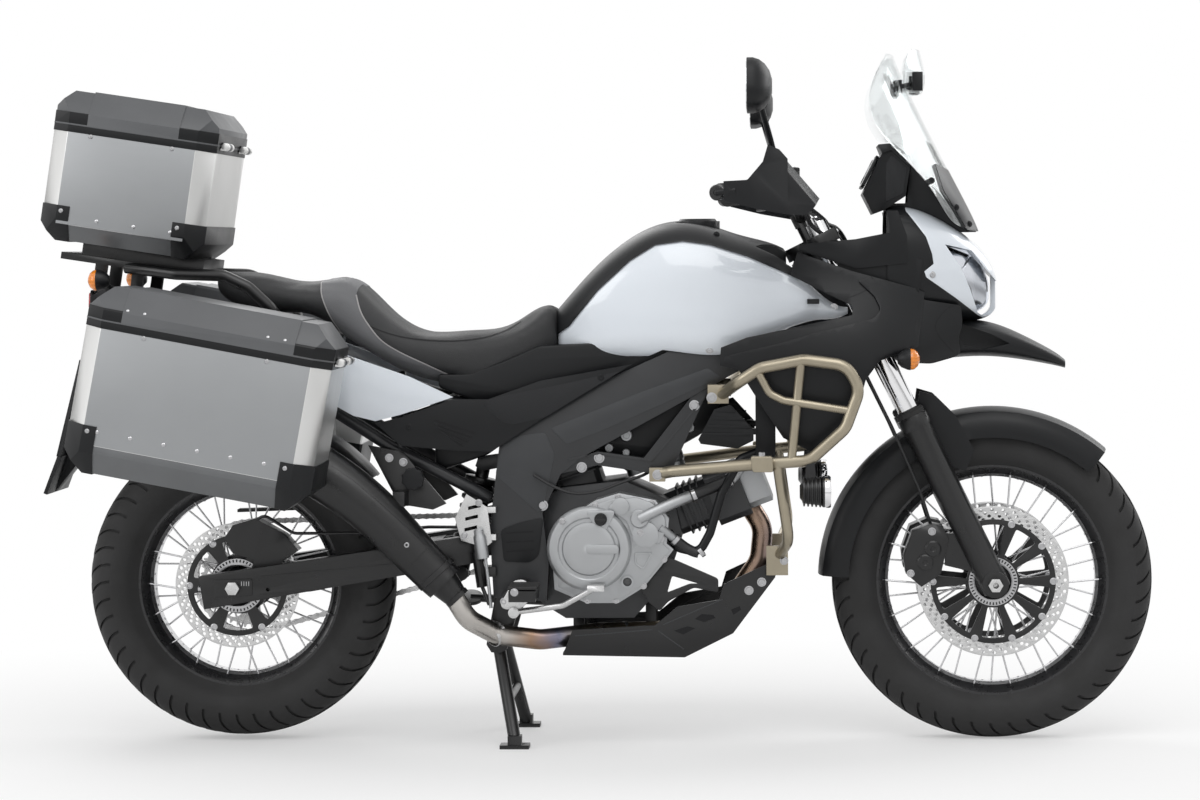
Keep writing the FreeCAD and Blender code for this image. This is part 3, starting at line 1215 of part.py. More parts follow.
def side_stand():
    start = SIDE_PIVOT
    end = start + SIDE_DIR * SIDE_STAND_L
    leg = rod(start + SIDE_DIR * 10, end, 9.0)
    eye = Part.makeCylinder(17, 18, start - SIDE_AXIS * 9, SIDE_AXIS)
    down = SIDE_AXIS.cross(SIDE_DIR)
    foot = Part.makeCylinder(26, 8, end - down * 4, down)
    shape = fuse([leg, eye, foot])
    return shape.cut(Part.makeCylinder(7 + RUN_FIT, 60, start - SIDE_AXIS * 30, SIDE_AXIS))


def side_stand_bolt():
    pinned = Part.makeCylinder(7, 26, SIDE_PIVOT - SIDE_AXIS * 13, SIDE_AXIS)
    head = Part.makeCylinder(12, 5, SIDE_PIVOT - SIDE_AXIS * 15, SIDE_AXIS)
    return fuse([pinned, head])


def front_hose(side):
    """A brake hose from the lower clamp down behind one fork leg to its caliper."""
    route = [steer(580, 25, side * 124), steer(548, 24, side * 124), steer(510, 0, side * 122),
             steer(380, 0, side * 110), steer(240, -6, side * 98), steer(HOSE_END, -18, side * 84)]
    return tube([(p.x, p.y, p.z) for p in route], HOSE_R, 40)


def brake_hoses():
    shape = Part.makeCompound([front_hose(-1.0), front_hose(1.0)])
    return shape.cut(caliper_shape).cut(clamps_shape)


def rear_brake():
    """Caliper over the disc, its bracket on the arm, hose, and the pedal's master cylinder by the heel guard."""
    outline = [(-766, 430), (-748, 456), (-700, 470), (-640, 436), (-612, 404), (-640, 384), (-700, 384),
               (-748, 398)]
    grip = caliper(outline, REAR_AXLE_X, REAR_AXLE_Z, REAR_DISC_R, -108, -62, REAR_DISC_Y)
    bracket = prism([(-720, 330), (-660, 340), (-640, 400), (-700, 400)], -108, -100)
    grip = fuse([grip, bracket]).cut(pin(REAR_AXLE_X, REAR_AXLE_Z, REAR_DISC_R + 6, REAR_DISC_Y - 7.5, -62))
    cylinder = rod(V(-228, -156, 332), V(-238, -156, 404), 11.0)
    cup = rod(V(-238, -156, 403), V(-241, -156, 424), 7.0)
    push = rod(V(-228, -156, 333), V(-212, -176, 298), 4.0)
    seat = box(-232, -200, -154, -142.4, 352, 372)
    hose = tube([(-700, -104, 466), (-680, -116, 478), (-620, -119, 440), (-480, -120, 440), (-340, -120, 452),
                 (-262, -130, 452), (-241, -150, 440), (-241, -156, 422)], HOSE_R, 30)
    shape = fuse([grip, hose, cylinder, cup, push, seat])
    return shape.cut(swingarm_shape).cut(pedal_shape).cut(frame_shape).cut(peg_shape)


def turn_signals():
    front = fuse([rod(V(628, -150, 817), V(642, -214, 798), 9.0),
                  prism([(619, 777), (653, 768), (676, 796), (662, 817), (619, 817)], -266, -212)])
    rear = fuse([rod(V(-985, -84, 925), V(-1002, -168, 962), 9.0), box(-1022, -990, -214, -162, 940, 990)])
    return both(front.cut(cowl_shape)), both(rear.cut(tail_shape))


handlebar_shape = handlebar()
mirror_shape = mirrors()
lower_shape = fork_lowers()
frame_shape = frame()
subframe_shape = subframe()
engine_shape = engine_case()
header_shape = exhaust_header()
muffler_shape = muffler()
crash_shape = crash_bars()
tank_shape = fuel_tank()
tail_shape = tail()
cowl_shape = side_cowls()
nose_full = nose_shell()
lamp_shape = headlamp().cut(frame_shape)
screen_shape = windscreen()
cockpit_shape = cockpit()
covers_shape = engine_covers()
caliper_shape = front_calipers()
controls_shape = controls()
clamps_shape = triple_clamps()
rack_shape = pannier_rack()
peg_shape = footpegs()
pedal_shape = pedals()
swingarm_shape = swingarm()
top_base, top_lid = top_luggage()
right_base, right_lid = side_luggage(-1)
left_base, left_lid = side_luggage(1)
tail_panel, side_panel = side_panels()
mounts_body, side_lug = stand_mounts()
front_lamps, rear_lamps = turn_signals()

NODES = {
    "frame": lambda: frame_shape,
    "subframe": lambda: subframe_shape,
    "swingarm": lambda: swingarm_shape,
    "rear_axle": rear_axle,
    "rear_shock": lambda: coil_over(V(-285, 0, 345), V(-235, 0, 575)),
    "front_tyre": lambda: tyre(FRONT_AXLE_X, FRONT_AXLE_Z, FRONT_TYRE_R, FRONT_TYRE_W, FRONT_RIM_R,
                               FRONT_RIM_HALF),
    "front_rim": front_rim,
    "front_discs": front_discs,
    "rear_tyre": lambda: tyre(REAR_AXLE_X, REAR_AXLE_Z, REAR_TYRE_R, REAR_TYRE_W, REAR_RIM_R,
                              REAR_RIM_HALF),
    "rear_rim": rear_rim,
    "rear_disc": rear_disc,
    "rear_sprocket": rear_sprocket,
    "chain": lambda: Part.makeCompound([chain(), front_sprocket()]),
    "fork_tubes": fork_tubes,
    "fork_lowers": lambda: lower_shape,
    "front_axle": front_axle,
    "triple_clamps": lambda: clamps_shape,
    "handlebar": lambda: handlebar_shape,
    "hand_guards": hand_guards,
    "mirrors": lambda: mirror_shape,
    "controls": lambda: controls_shape,
    "front_calipers": lambda: caliper_shape,
    "brake_hoses": brake_hoses,
    "rear_brake": rear_brake,
    "front_fender": front_fender,
    "engine_case": lambda: engine_shape,
    "engine_covers": lambda: covers_shape,
    "exhaust_header": lambda: header_shape,
    "muffler": lambda: muffler_shape,
    "radiator": radiator,
    "skid_plate": skid_plate,
    "crash_bars": lambda: crash_shape,
    "fog_lamps": fog_lamps,
    "fuel_tank": lambda: tank_shape,
    "tank_cover": tank_cover,
    "seat": seat,
    "tail_panels": lambda: both(tail_panel).cut(rack_shape),
    "side_panels": lambda: both(side_panel),
    "side_cowls": lambda: cowl_shape,
    "nose_cowl": nose_cowl,
    "inner_cowls": lambda: Part.makeCompound([inner_cowls()[0]] + both(inner_cowls()[1]).Solids),
    "headlamp": lambda: lamp_shape,
    "beak": beak,
    "windscreen": lambda: screen_shape,
    "cockpit": lambda: cockpit_shape,
    "rear_fender": rear_fender,
    "tail": lambda: tail_shape,
    "tail_rack": lambda: Part.makeCompound([tail_rack(), top_box_mount()]),
    "top_box": lambda: top_base,
    "top_box_lid": lambda: top_lid,
    "pannier_right": lambda: right_base,
    "pannier_right_lid": lambda: right_lid,
    "pannier_left": lambda: left_base,
    "pannier_left_lid": lambda: left_lid,
    "pannier_rack": lambda: rack_shape,
    "footpegs": lambda: Part.makeCompound(peg_shape.Solids + [mounts_body, fuse([side_lug, side_stand_bolt()])]),
    "pedals": lambda: pedal_shape,
    "centre_stand": centre_stand,
    "side_stand": side_stand,
    "turn_signals": lambda: Part.makeCompound(front_lamps.Solids + rear_lamps.Solids),
}

os.makedirs(OUT_DIR, exist_ok=True)
for name, make in NODES.items():
    shape = make()
    print(name, "valid", shape.isValid(), "solids", len(shape.Solids), "litres", round(shape.Volume / 1e6, 3))
    shape.exportStep(os.path.join(OUT_DIR, name + ".step"))
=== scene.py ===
"""Dresses an adventure motorcycle on its fixed frame: paint, metal, rubber, leather, lamps and luggage."""
import json
import math

import bpy
from bpy.props import FloatProperty, FloatVectorProperty, PointerProperty
from mathutils import Matrix, Vector


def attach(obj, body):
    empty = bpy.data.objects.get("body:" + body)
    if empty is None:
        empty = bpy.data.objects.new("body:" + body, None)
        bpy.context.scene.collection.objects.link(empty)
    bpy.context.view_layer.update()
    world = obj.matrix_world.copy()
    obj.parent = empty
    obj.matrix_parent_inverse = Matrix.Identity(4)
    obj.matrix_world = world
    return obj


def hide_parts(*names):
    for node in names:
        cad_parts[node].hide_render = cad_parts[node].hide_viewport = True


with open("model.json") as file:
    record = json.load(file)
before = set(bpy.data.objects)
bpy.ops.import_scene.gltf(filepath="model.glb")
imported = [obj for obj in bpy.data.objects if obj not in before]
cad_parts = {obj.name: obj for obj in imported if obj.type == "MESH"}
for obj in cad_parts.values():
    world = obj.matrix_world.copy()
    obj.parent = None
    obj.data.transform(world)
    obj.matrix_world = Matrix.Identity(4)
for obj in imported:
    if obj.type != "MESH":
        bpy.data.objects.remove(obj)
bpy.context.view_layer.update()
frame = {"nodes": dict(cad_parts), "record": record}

bl_info = {
    "name": "Adventure motorcycle",
    "version": (1, 0, 0),
    "blender": (4, 5, 0),
    "location": "3D View > Sidebar > Motorcycle",
    "description": "Builds the visible pieces and finishes of an adventure motorcycle",
    "category": "Object",
}

NODES = frame["nodes"]

# The camera, from the circles of both wheels

CAMERA_PLACE = (0.382, -6.567, 1.015)
CAMERA_YAW = math.radians(3.26)
CAMERA_PITCH = math.radians(2.70)
CAMERA_ROLL = math.radians(-0.56)
FOCAL_PIXELS = 3164.0
IMAGE_WIDTH = 1200.0
SENSOR_WIDTH = 36.0

# Axles, in metres

FRONT_AXLE = (0.816, 0.3293)
REAR_AXLE = (-0.744, 0.3293)

# How far the steering axis leans back, and the dial's middle on the instrument face, in metres

RAKE = math.radians(26.0)
DIAL_CENTRE = (-0.036, 0.001, 0.0)


# Modelling tools

MM = 0.001
NODE_WELD = 0.00002
SIDE_VIEW = (math.pi / 2, 0.0, 0.0)
FRONT_VIEW = (math.pi / 2, 0.0, math.pi / 2)
TOP_VIEW = (0.0, 0.0, 0.0)


def millimetres(points):
    return [Vector(point) * MM for point in points]


def choose(*pieces):
    """Select these pieces alone and make the last one active."""
    bpy.ops.object.select_all(action="DESELECT")
    for piece in pieces:
        piece.select_set(True)
    bpy.context.view_layer.objects.active = pieces[-1]


def modify(piece, kind, **settings):
    """Put a modifier on a piece and apply it."""
    choose(piece)
    bpy.ops.object.modifier_add(type=kind)
    modifier = piece.modifiers[-1]
    for key, value in settings.items():
        setattr(modifier, key, value)
    bpy.ops.object.modifier_apply(modifier=modifier.name)
    return piece


def mend(piece, gap=0.00001):
    """Merge doubled points and turn all faces outwards."""
    choose(piece)
    bpy.ops.object.mode_set(mode="EDIT")
    bpy.ops.mesh.select_all(action="SELECT")
    bpy.ops.mesh.remove_doubles(threshold=gap)
    bpy.ops.mesh.normals_make_consistent(inside=False)
    bpy.ops.object.mode_set(mode="OBJECT")
    return piece


def pick_faces(piece, test):
    """Enter edit mode with only the faces selected whose centre and normal pass a test."""
    choose(piece)
    bpy.ops.object.mode_set(mode="EDIT")
    bpy.ops.mesh.select_mode(type="FACE")
    bpy.ops.mesh.select_all(action="DESELECT")
    bpy.ops.object.mode_set(mode="OBJECT")
    for face in piece.data.polygons:
        face.select = test(face.center, face.normal)
    bpy.ops.object.mode_set(mode="EDIT")


def settle(piece):
    """Move a piece's place and turn into its mesh."""
    choose(piece)
    bpy.ops.object.transform_apply(location=True, rotation=True, scale=True)
    return piece


def curve_piece(data, turn=TOP_VIEW, place=(0.0, 0.0, 0.0)):
    """A curve made into a mesh at its place."""
    piece = bpy.data.objects.new(data.name, data)
    bpy.context.collection.objects.link(piece)
    choose(piece)
    bpy.ops.object.convert(target="MESH")
    piece = bpy.context.object
    piece.rotation_euler = turn
    piece.location = place
    return settle(piece)


def add_line(data, points, closed, kind="POLY"):
    line = data.splines.new(kind)
    line.points.add(len(points) - 1)
    for knot, point in zip(line.points, points):
        knot.co = (*point, 1.0) if len(point) == 3 else (*point, 0.0, 1.0)
    line.use_cyclic_u = closed
    return line


def rounded(outline, radius, steps=3):
    """An outline with its corners rounded."""
    result = []
    for i, point in enumerate(outline):
        corner = Vector(point)
        arms = []
        for other in (outline[i - 1], outline[(i + 1) % len(outline)]):
            arm = Vector(other) - corner
            arms.append(corner + arm.normalized() * min(radius, arm.length * 0.45))
        for step in range(steps + 1):
            t = step / steps
            spot = arms[0] * (1 - t) ** 2 + corner * 2 * t * (1 - t) + arms[1] * t * t
            result.append((spot.x, spot.y))
    return result


def circle(x, y, radius, count=24):
    return [(x + radius * math.cos(math.tau * i / count), y + radius * math.sin(math.tau * i / count))
            for i in range(count)]


def plate(outlines, low, high, view=SIDE_VIEW, edge=0.8):
    """A flat plate with a softened edge; the first outline is its rim and the others are its holes."""
    data = bpy.data.curves.new("plate", "CURVE")
    data.dimensions = "2D"
    data.fill_mode = "BOTH"
    for outline in outlines:
        add_line(data, millimetres(outline), True)
    data.bevel_depth = edge * MM
    data.offset = -edge * MM
    data.extrude = abs(high - low) * MM / 2 - edge * MM
    data.bevel_resolution = 1
    middle = (low + high) * MM / 2
    place = {SIDE_VIEW: (0.0, middle, 0.0), FRONT_VIEW: (middle, 0.0, 0.0),
             TOP_VIEW: (0.0, 0.0, middle)}[view]
    return mend(curve_piece(data, view, place))


def pipe(points, radius, sides=3, order=3):
    """A round bar or hose along a smooth line through space."""
    data = bpy.data.curves.new("pipe", "CURVE")
    data.dimensions = "3D"
    line = add_line(data, millimetres(points), False, "NURBS")
    line.order_u = order
    line.use_endpoint_u = True
    line.resolution_u = 6
    data.bevel_depth = radius * MM
    data.bevel_resolution = sides
    data.use_fill_caps = True
    return mend(curve_piece(data))


def aimed(direction):
    return Vector(direction).to_track_quat("Z", "Y").to_euler()


def turned(profile, place=(0, 0, 0), direction=(0, 0, 1), steps=40):
    """A turned piece: its profile gives radius and height along the direction, from the place."""
    data = bpy.data.curves.new("turned", "CURVE")
    data.dimensions = "3D"
    add_line(data, millimetres([(r, 0.0, h) for r, h in profile]), False)
    piece = curve_piece(data)
    choose(piece)
    bpy.ops.object.mode_set(mode="EDIT")
    bpy.ops.mesh.select_all(action="SELECT")
    bpy.ops.mesh.spin(steps=steps, angle=math.tau, center=(0, 0, 0), axis=(0, 0, 1))
    bpy.ops.object.mode_set(mode="OBJECT")
    mend(piece)
    piece.rotation_euler = aimed(direction)
    piece.location = Vector(place) * MM
    return settle(piece)


def joined(pieces):
    choose(*pieces)
    if len(pieces) > 1:
        bpy.ops.object.join()
    return bpy.context.object


def twin(piece):
    """A copy of a piece, with a mesh of its own, in the scene."""
    copy = piece.copy()
    copy.data = piece.data.copy()
    bpy.context.collection.objects.link(copy)
    return copy


def scattered(model, spots):
    """Copies of a piece modelled at the origin along Z, at places and in directions; the model goes."""
    copies = []
    for place, direction in spots:
        copy = twin(model)
        copy.rotation_euler = aimed(direction)
        copy.location = Vector(place) * MM
        copies.append(copy)
    bpy.data.objects.remove(model)
    return settle(joined(copies))


def mirrored_copy(piece):
    """The same piece on the machine's other side, its faces turned outwards again."""
    copy = twin(piece)
    copy.scale = (1.0, -1.0, 1.0)
    return mend(settle(copy))


def both_sides(piece):
    return joined([mirrored_copy(piece), piece])


def tilted(piece, x, z, degrees):
    """A piece modelled level, turned nose down by an angle and moved to its place."""
    piece.rotation_euler = (0.0, math.radians(degrees), 0.0)
    piece.location = (x * MM, 0.0, z * MM)
    return settle(piece)


def node_copy(name):
    """A merged copy of one of the frame's nodes."""
    copy = twin(NODES[name])
    copy.modifiers.clear()
    return mend(copy, NODE_WELD)


def trimmed(piece, region):
    """The part of a piece that lies in a region; the region goes."""
    modify(piece, "BOOLEAN", operation="INTERSECT", object=region, solver="EXACT")
    bpy.data.objects.remove(region)
    return piece


def raised(skin, region, lift):
    """The part of a skin that lies in a region, raised by a lift."""
    modify(skin, "DISPLACE", direction="NORMAL", strength=lift * MM, mid_level=0.0)
    return trimmed(skin, region)


def patch(name, region, lift):
    """The part of a node's surface that lies in a region, raised by a lift."""
    return raised(node_copy(name), region, lift)


def softened(piece, width=0.6, degrees=35.0):
    return modify(piece, "BEVEL", width=width * MM, segments=2, limit_method="ANGLE",
                  angle_limit=math.radians(degrees))


def deliver(piece, name, finish, body="chassis", smooth=32.0):
    """Name a finished piece, give it its finish and let it ride on a body."""
    choose(piece)
    bpy.ops.object.shade_smooth_by_angle(angle=math.radians(smooth))
    piece.name = name
    piece.data.name = name
    piece.data.materials.clear()
    piece.data.materials.append(FINISHES[finish])
    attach(piece, body)
    return piece


def bolt_head(radius=5.0, height=5.0, socket=2.6):
    """A round bolt head with a socket in its top and a thin washer below, along Z."""
    profile = [(0.0, -1.0), (radius * 1.35, -1.0), (radius * 1.35, 0.4), (radius, 0.6),
               (radius, height - 0.8), (radius - 0.8, height), (socket, height),
               (socket * 0.92, height - 2.2), (0.0, height - 2.2)]
    return turned(profile, steps=14)


def hex_nut(radius=6.0, height=5.0):
    """A hexagonal head on a washer, along Z."""
    bpy.ops.object.select_all(action="DESELECT")
    bpy.ops.mesh.primitive_cylinder_add(vertices=6, radius=radius * MM, depth=height * MM,
                                        location=(0.0, 0.0, height * MM / 2))
    head = settle(bpy.context.object)
    pick_faces(head, lambda centre, normal: normal.z > 0.9)
    bpy.ops.mesh.inset(thickness=radius * 0.14 * MM)
    bpy.ops.transform.translate(value=(0.0, 0.0, height * 0.12 * MM))
    bpy.ops.object.mode_set(mode="OBJECT")
    washer = turned([(0.0, -0.8), (radius * 1.25, -0.8), (radius * 1.25, 0.8), (0.0, 0.8)], steps=16)
    return joined([washer, head])


def rivet(radius=3.4, height=2.2):
    profile = [(radius, -0.4)] + [(radius * math.cos(a), height * math.sin(a)) for a in (0.2, 0.7, 1.15)]
    return turned(profile + [(0.0, height)], steps=12)


def steer_point(along, forward, side):
    """A point along the steering axis, ahead of it and to its left, in millimetres."""
    ahead = forward - 45.0
    return (816.0 + ahead * math.cos(RAKE) - along * math.sin(RAKE), side,
            329.3 + ahead * math.sin(RAKE) + along * math.cos(RAKE))


# Finishes

class Value:
    """A shader socket that takes part in arithmetic."""

    def __init__(self, finish, socket):
        self.finish = finish
        self.socket = socket

    def maths(self, operation, first, second=0.0):
        return self.finish.node("ShaderNodeMath", {"operation": operation}, {0: first, 1: second})

    def __add__(self, other):
        return self.maths("ADD", self, other)

    def __sub__(self, other):
        return self.maths("SUBTRACT", self, other)

    def __mul__(self, other):
        return self.maths("MULTIPLY", self, other)

    def __lt__(self, other):
        return self.maths("LESS_THAN", self, other)

    def __gt__(self, other):
        return self.maths("GREATER_THAN", self, other)

    __radd__ = __add__
    __rmul__ = __mul__


class Finish:
    """A material under construction: its Principled shader and the nodes that feed it."""

    def __init__(self, name, colour, metallic=0.0, roughness=0.5, **sockets):
        self.material = bpy.data.materials.new(name)
        self.material.use_nodes = True
        self.tree = self.material.node_tree
        self.shader = self.tree.nodes["Principled BSDF"]
        self.set("Base Color", tuple(colour) + (1.0,))
        self.set("Metallic", metallic)
        self.set("Roughness", roughness)
        for key, value in sockets.items():
            self.set(key.replace("_", " "), value)

    def set(self, key, value):
        if isinstance(value, Value):
            self.tree.links.new(value.socket, self.shader.inputs[key])
        else:
            self.shader.inputs[key].default_value = value

    def node(self, kind, settings=None, inputs=None, output=0):
        made = self.tree.nodes.new(kind)
        for key, value in (settings or {}).items():
            if key == "stops":
                ramp = made.color_ramp
                while len(ramp.elements) < len(value):
                    ramp.elements.new(1.0)
                for element, (place, colour) in zip(ramp.elements, value):
                    element.position = place
                    element.color = tuple(colour) + (1.0,)
            else:
                setattr(made, key, value)
        for key, value in (inputs or {}).items():
            if isinstance(value, Value):
                self.tree.links.new(value.socket, made.inputs[key])
            else:
                made.inputs[key].default_value = value
        return Value(self, made.outputs[output])

    def place(self, scale=(1.0, 1.0, 1.0), centre=(0.0, 0.0, 0.0)):
        """Object coordinates, moved to a centre and then scaled."""
        here = self.node("ShaderNodeTexCoord", output="Object")
        moved = self.node("ShaderNodeVectorMath", {"operation": "SUBTRACT"}, {0: here, 1: centre})
        return self.node("ShaderNodeVectorMath", {"operation": "MULTIPLY"}, {0: moved, 1: scale})

    def axes(self, vector=None):
        vector = vector or self.place()
        return [self.node("ShaderNodeSeparateXYZ", None, {0: vector}, i) for i in range(3)]

    def noise(self, scale, detail=2.0, stretch=(1.0, 1.0, 1.0), centre=(0.0, 0.0, 0.0)):
        vector = self.place(stretch, centre)
        return self.node("ShaderNodeTexNoise", None, {"Vector": vector, "Scale": scale, "Detail": detail})

    def blend(self, factor, first, second):
        """A colour between two colours."""
        first = first if isinstance(first, Value) else tuple(first) + (1.0,)
        second = second if isinstance(second, Value) else tuple(second) + (1.0,)
        return self.node("ShaderNodeMix", {"data_type": "RGBA"}, {0: factor, 6: first, 7: second}, 2)

    def ramp(self, factor, stops):
        return self.node("ShaderNodeValToRGB", {"stops": stops}, {0: factor})

    def range(self, value, low, high, out_low=0.0, out_high=1.0):
        return self.node("ShaderNodeMapRange", None, {0: value, 1: low, 2: high, 3: out_low, 4: out_high})

    def bump(self, height, depth, strength=1.0):
        """Relief of a depth in metres from a height between 0 and 1."""
        self.set("Normal", self.node("ShaderNodeBump", None, {"Strength": strength, "Distance": depth,
                                                              "Height": height}))


def pearl_paint(name, colour):
    finish = Finish(name, colour, 0.0, 0.3, Coat_Weight=1.0, Coat_Roughness=0.04)
    flake = finish.noise(2600.0, 1.0)
    cloud = finish.noise(3.0, 2.0)
    low = tuple(c * 0.93 for c in colour[:2]) + (colour[2] * 0.97,)
    finish.set("Base Color", finish.blend(flake * 0.5 + cloud * 0.4, low, colour))
    finish.set("Roughness", finish.range(flake, 0.3, 0.7, 0.26, 0.36))
    return finish.material


def grained_plastic(name, colour, roughness=0.38, grain=900.0, depth=0.00008):
    finish = Finish(name, colour, 0.0, roughness, Specular_IOR_Level=0.28)
    fine = finish.node("ShaderNodeTexVoronoi", {"feature": "SMOOTH_F1"},
                       {"Vector": finish.place(), "Scale": grain, "Smoothness": 0.6})
    dust = finish.noise(7.0, 4.0)
    finish.set("Base Color", finish.blend(dust, tuple(c * 0.85 for c in colour),
                                          tuple(c * 1.25 for c in colour)))
    finish.set("Roughness", finish.range(dust, 0.3, 0.7, roughness - 0.05, roughness + 0.06))
    finish.bump(fine, depth)
    return finish.material


def satin_paint(name, colour, roughness=0.36, metallic=0.0, depth=0.00006):
    finish = Finish(name, colour, metallic, roughness)
    peel = finish.noise(420.0, 2.0)
    wear = finish.noise(22.0, 5.0)
    finish.set("Base Color", finish.blend(wear, tuple(c * 0.88 for c in colour),
                                          tuple(c * 1.12 for c in colour)))
    finish.set("Roughness", finish.range(wear, 0.25, 0.75, roughness - 0.05, roughness + 0.07))
    finish.bump(peel, depth)
    return finish.material


def cast_alloy(name, colour, roughness=0.42, metallic=0.85):
    finish = Finish(name, colour, metallic, roughness)
    sand = finish.noise(1300.0, 3.0)
    stain = finish.noise(14.0, 4.0)
    finish.set("Base Color", finish.blend(stain, tuple(c * 0.82 for c in colour), colour))
    finish.set("Roughness", finish.range(stain, 0.2, 0.8, roughness - 0.06, roughness + 0.1))
    finish.bump(sand, 0.00012)
    return finish.material


def brushed_metal(name, colour, roughness=0.34, stretch=(4.0, 400.0, 400.0), metallic=1.0, depth=0.00002):
    finish = Finish(name, colour, metallic, roughness)
    lines = finish.noise(6.0, 3.0, stretch)
    stain = finish.noise(9.0, 3.0)
    finish.set("Base Color", finish.blend(stain * 0.6 + lines * 0.4, tuple(c * 0.86 for c in colour), colour))
    finish.set("Roughness", finish.range(lines, 0.3, 0.7, roughness - 0.07, roughness + 0.1))
    finish.bump(lines, depth)
    return finish.material


def turned_steel(name, colour, centre, roughness=0.28):
    """Steel with fine rings about an axle, as a ground disc has."""
    finish = Finish(name, colour, 1.0, roughness)
    x, y, z = finish.axes(finish.place((1.0, 1.0, 1.0), (centre[0], 0.0, centre[1])))
    radius = finish.node("ShaderNodeMath", {"operation": "SQRT"}, {0: x * x + z * z})
    rings = finish.node("ShaderNodeTexNoise", {"noise_dimensions": "1D"}, {"W": radius * 900.0, "Scale": 1.0})
    finish.set("Base Color", finish.blend(rings, tuple(c * 0.8 for c in colour), colour))
    finish.set("Roughness", finish.range(rings, 0.3, 0.7, roughness - 0.08, roughness + 0.1))
    finish.bump(rings, 0.00002)
    return finish.material


def tinted_steel(name):
    """Bare pipe whose colour follows its distance from the ports."""
    finish = Finish(name, (0.5, 0.42, 0.34), 1.0, 0.3)
    x, y, z = finish.axes()
    cloud = finish.noise(11.0, 3.0)
    along = finish.range(x, -0.30, 0.36) + (cloud - 0.5) * 0.14
    stops = [(0.0, (0.58, 0.56, 0.53)), (0.18, (0.50, 0.47, 0.44)), (0.27, (0.34, 0.22, 0.15)),
             (0.33, (0.20, 0.20, 0.27)), (0.42, (0.52, 0.47, 0.40)), (0.7, (0.46, 0.37, 0.26)),
             (0.9, (0.36, 0.24, 0.15)), (1.0, (0.26, 0.20, 0.19))]
    finish.set("Base Color", finish.ramp(along, stops))
    finish.set("Roughness", finish.range(cloud, 0.3, 0.7, 0.24, 0.38))
    return finish.material


def polished(name, colour, roughness=0.06):
    finish = Finish(name, colour, 1.0, roughness)
    smear = finish.noise(30.0, 3.0)
    finish.set("Roughness", finish.range(smear, 0.3, 0.7, roughness, roughness + 0.05))
    finish.set("Base Color", finish.blend(smear, tuple(c * 0.94 for c in colour), colour))
    return finish.material


def tyre_rubber(name):
    finish = Finish(name, (0.028, 0.028, 0.03), 0.0, 0.72)
    dust = finish.noise(16.0, 5.0)
    grit = finish.noise(700.0, 2.0)
    finish.set("Base Color", finish.blend(dust, (0.011, 0.011, 0.012), (0.024, 0.0235, 0.023)))
    finish.set("Roughness", finish.range(dust, 0.3, 0.7, 0.62, 0.82))
    finish.bump(grit, 0.00012)
    return finish.material


def leather(name, colour):
    finish = Finish(name, colour, 0.0, 0.56)
    cells = finish.node("ShaderNodeTexVoronoi", {"feature": "DISTANCE_TO_EDGE"},
                        {"Vector": finish.place(), "Scale": 420.0})
    creases = finish.range(cells, 0.0, 0.25)
    wear = finish.noise(9.0, 4.0)
    finish.set("Base Color", finish.blend(wear, tuple(c * 0.8 for c in colour),
                                          tuple(c * 1.3 for c in colour)))
    finish.set("Roughness", finish.range(wear, 0.3, 0.7, 0.5, 0.64))
    finish.bump(creases, 0.0002)
    return finish.material


def clear_plastic(name, tint, gloss=0.05):
    """Sheet that shows what is behind it, with a clear skin of reflection."""
    finish = Finish(name, (0.9, 0.92, 0.92), 1.0, gloss)
    see = finish.node("ShaderNodeBsdfTransparent", None, {"Color": tuple(tint) + (1.0,)})
    fresnel = finish.node("ShaderNodeFresnel", None, {"IOR": 1.5})
    haze = finish.noise(5.0, 2.0)
    share = fresnel * 0.4 + finish.range(haze, 0.3, 0.7, 0.004, 0.014)
    joined = finish.node("ShaderNodeMixShader", None, {0: share, 1: see,
                                                       2: Value(finish, finish.shader.outputs[0])})
    output = finish.tree.nodes["Material Output"]
    finish.tree.links.new(joined.socket, output.inputs["Surface"])
    return finish.material


def lens_plastic(name, colour, roughness=0.12):
    finish = Finish(name, colour, 0.0, roughness, Coat_Weight=0.6)
    x, y, z = finish.axes()
    wave = finish.node("ShaderNodeMath", {"operation": "SINE"}, {0: z * 900.0})
    finish.bump(wave * 0.5 + 0.5, 0.0004)
    # The colour is darker in the ribs' troughs: painted shade.
    finish.set("Base Color", finish.blend(wave * 0.5 + 0.5, tuple(c * 0.85 for c in colour), colour))
    return finish.material


def spoked_metal(name, centre, low, high):
    """Black rim and hub with bare steel between two radii, where the spokes run."""
    finish = Finish(name, (0.02, 0.02, 0.021), 0.3, 0.3)
    x, y, z = finish.axes(finish.place((1.0, 1.0, 1.0), (centre[0], 0.0, centre[1])))
    radius = finish.node("ShaderNodeMath", {"operation": "SQRT"}, {0: x * x + z * z})
    bare = (radius > low) * (radius < high)
    wear = finish.noise(60.0, 3.0)
    black = finish.blend(wear, (0.016, 0.016, 0.017), (0.028, 0.028, 0.03))
    steel = finish.blend(wear, (0.56, 0.56, 0.57), (0.74, 0.74, 0.75))
    finish.set("Base Color", finish.blend(bare, black, steel))
    finish.set("Metallic", bare * 0.9 + 0.1)
    finish.set("Roughness", finish.range(wear, 0.3, 0.7, 0.24, 0.34))
    return finish.material


def ribbed_plastic(name, colour):
    """Dark plastic with fine upright ribs, painted lighter on their crests and darker between them: painted
    highlight and shade.
    """
    finish = Finish(name, colour, 0.0, 0.3, Coat_Weight=0.5)
    x, y, z = finish.axes()
    ribs = finish.node("ShaderNodeMath", {"operation": "SINE"}, {0: x * 1500.0}) * 0.5 + 0.5
    # The colour follows the ribs: painted highlight on the crests, painted shade in the grooves.
    finish.set("Base Color", finish.blend(ribs, tuple(c * 0.5 for c in colour),
                                          tuple(c * 2.4 for c in colour)))
    finish.bump(ribs, 0.0008)
    return finish.material


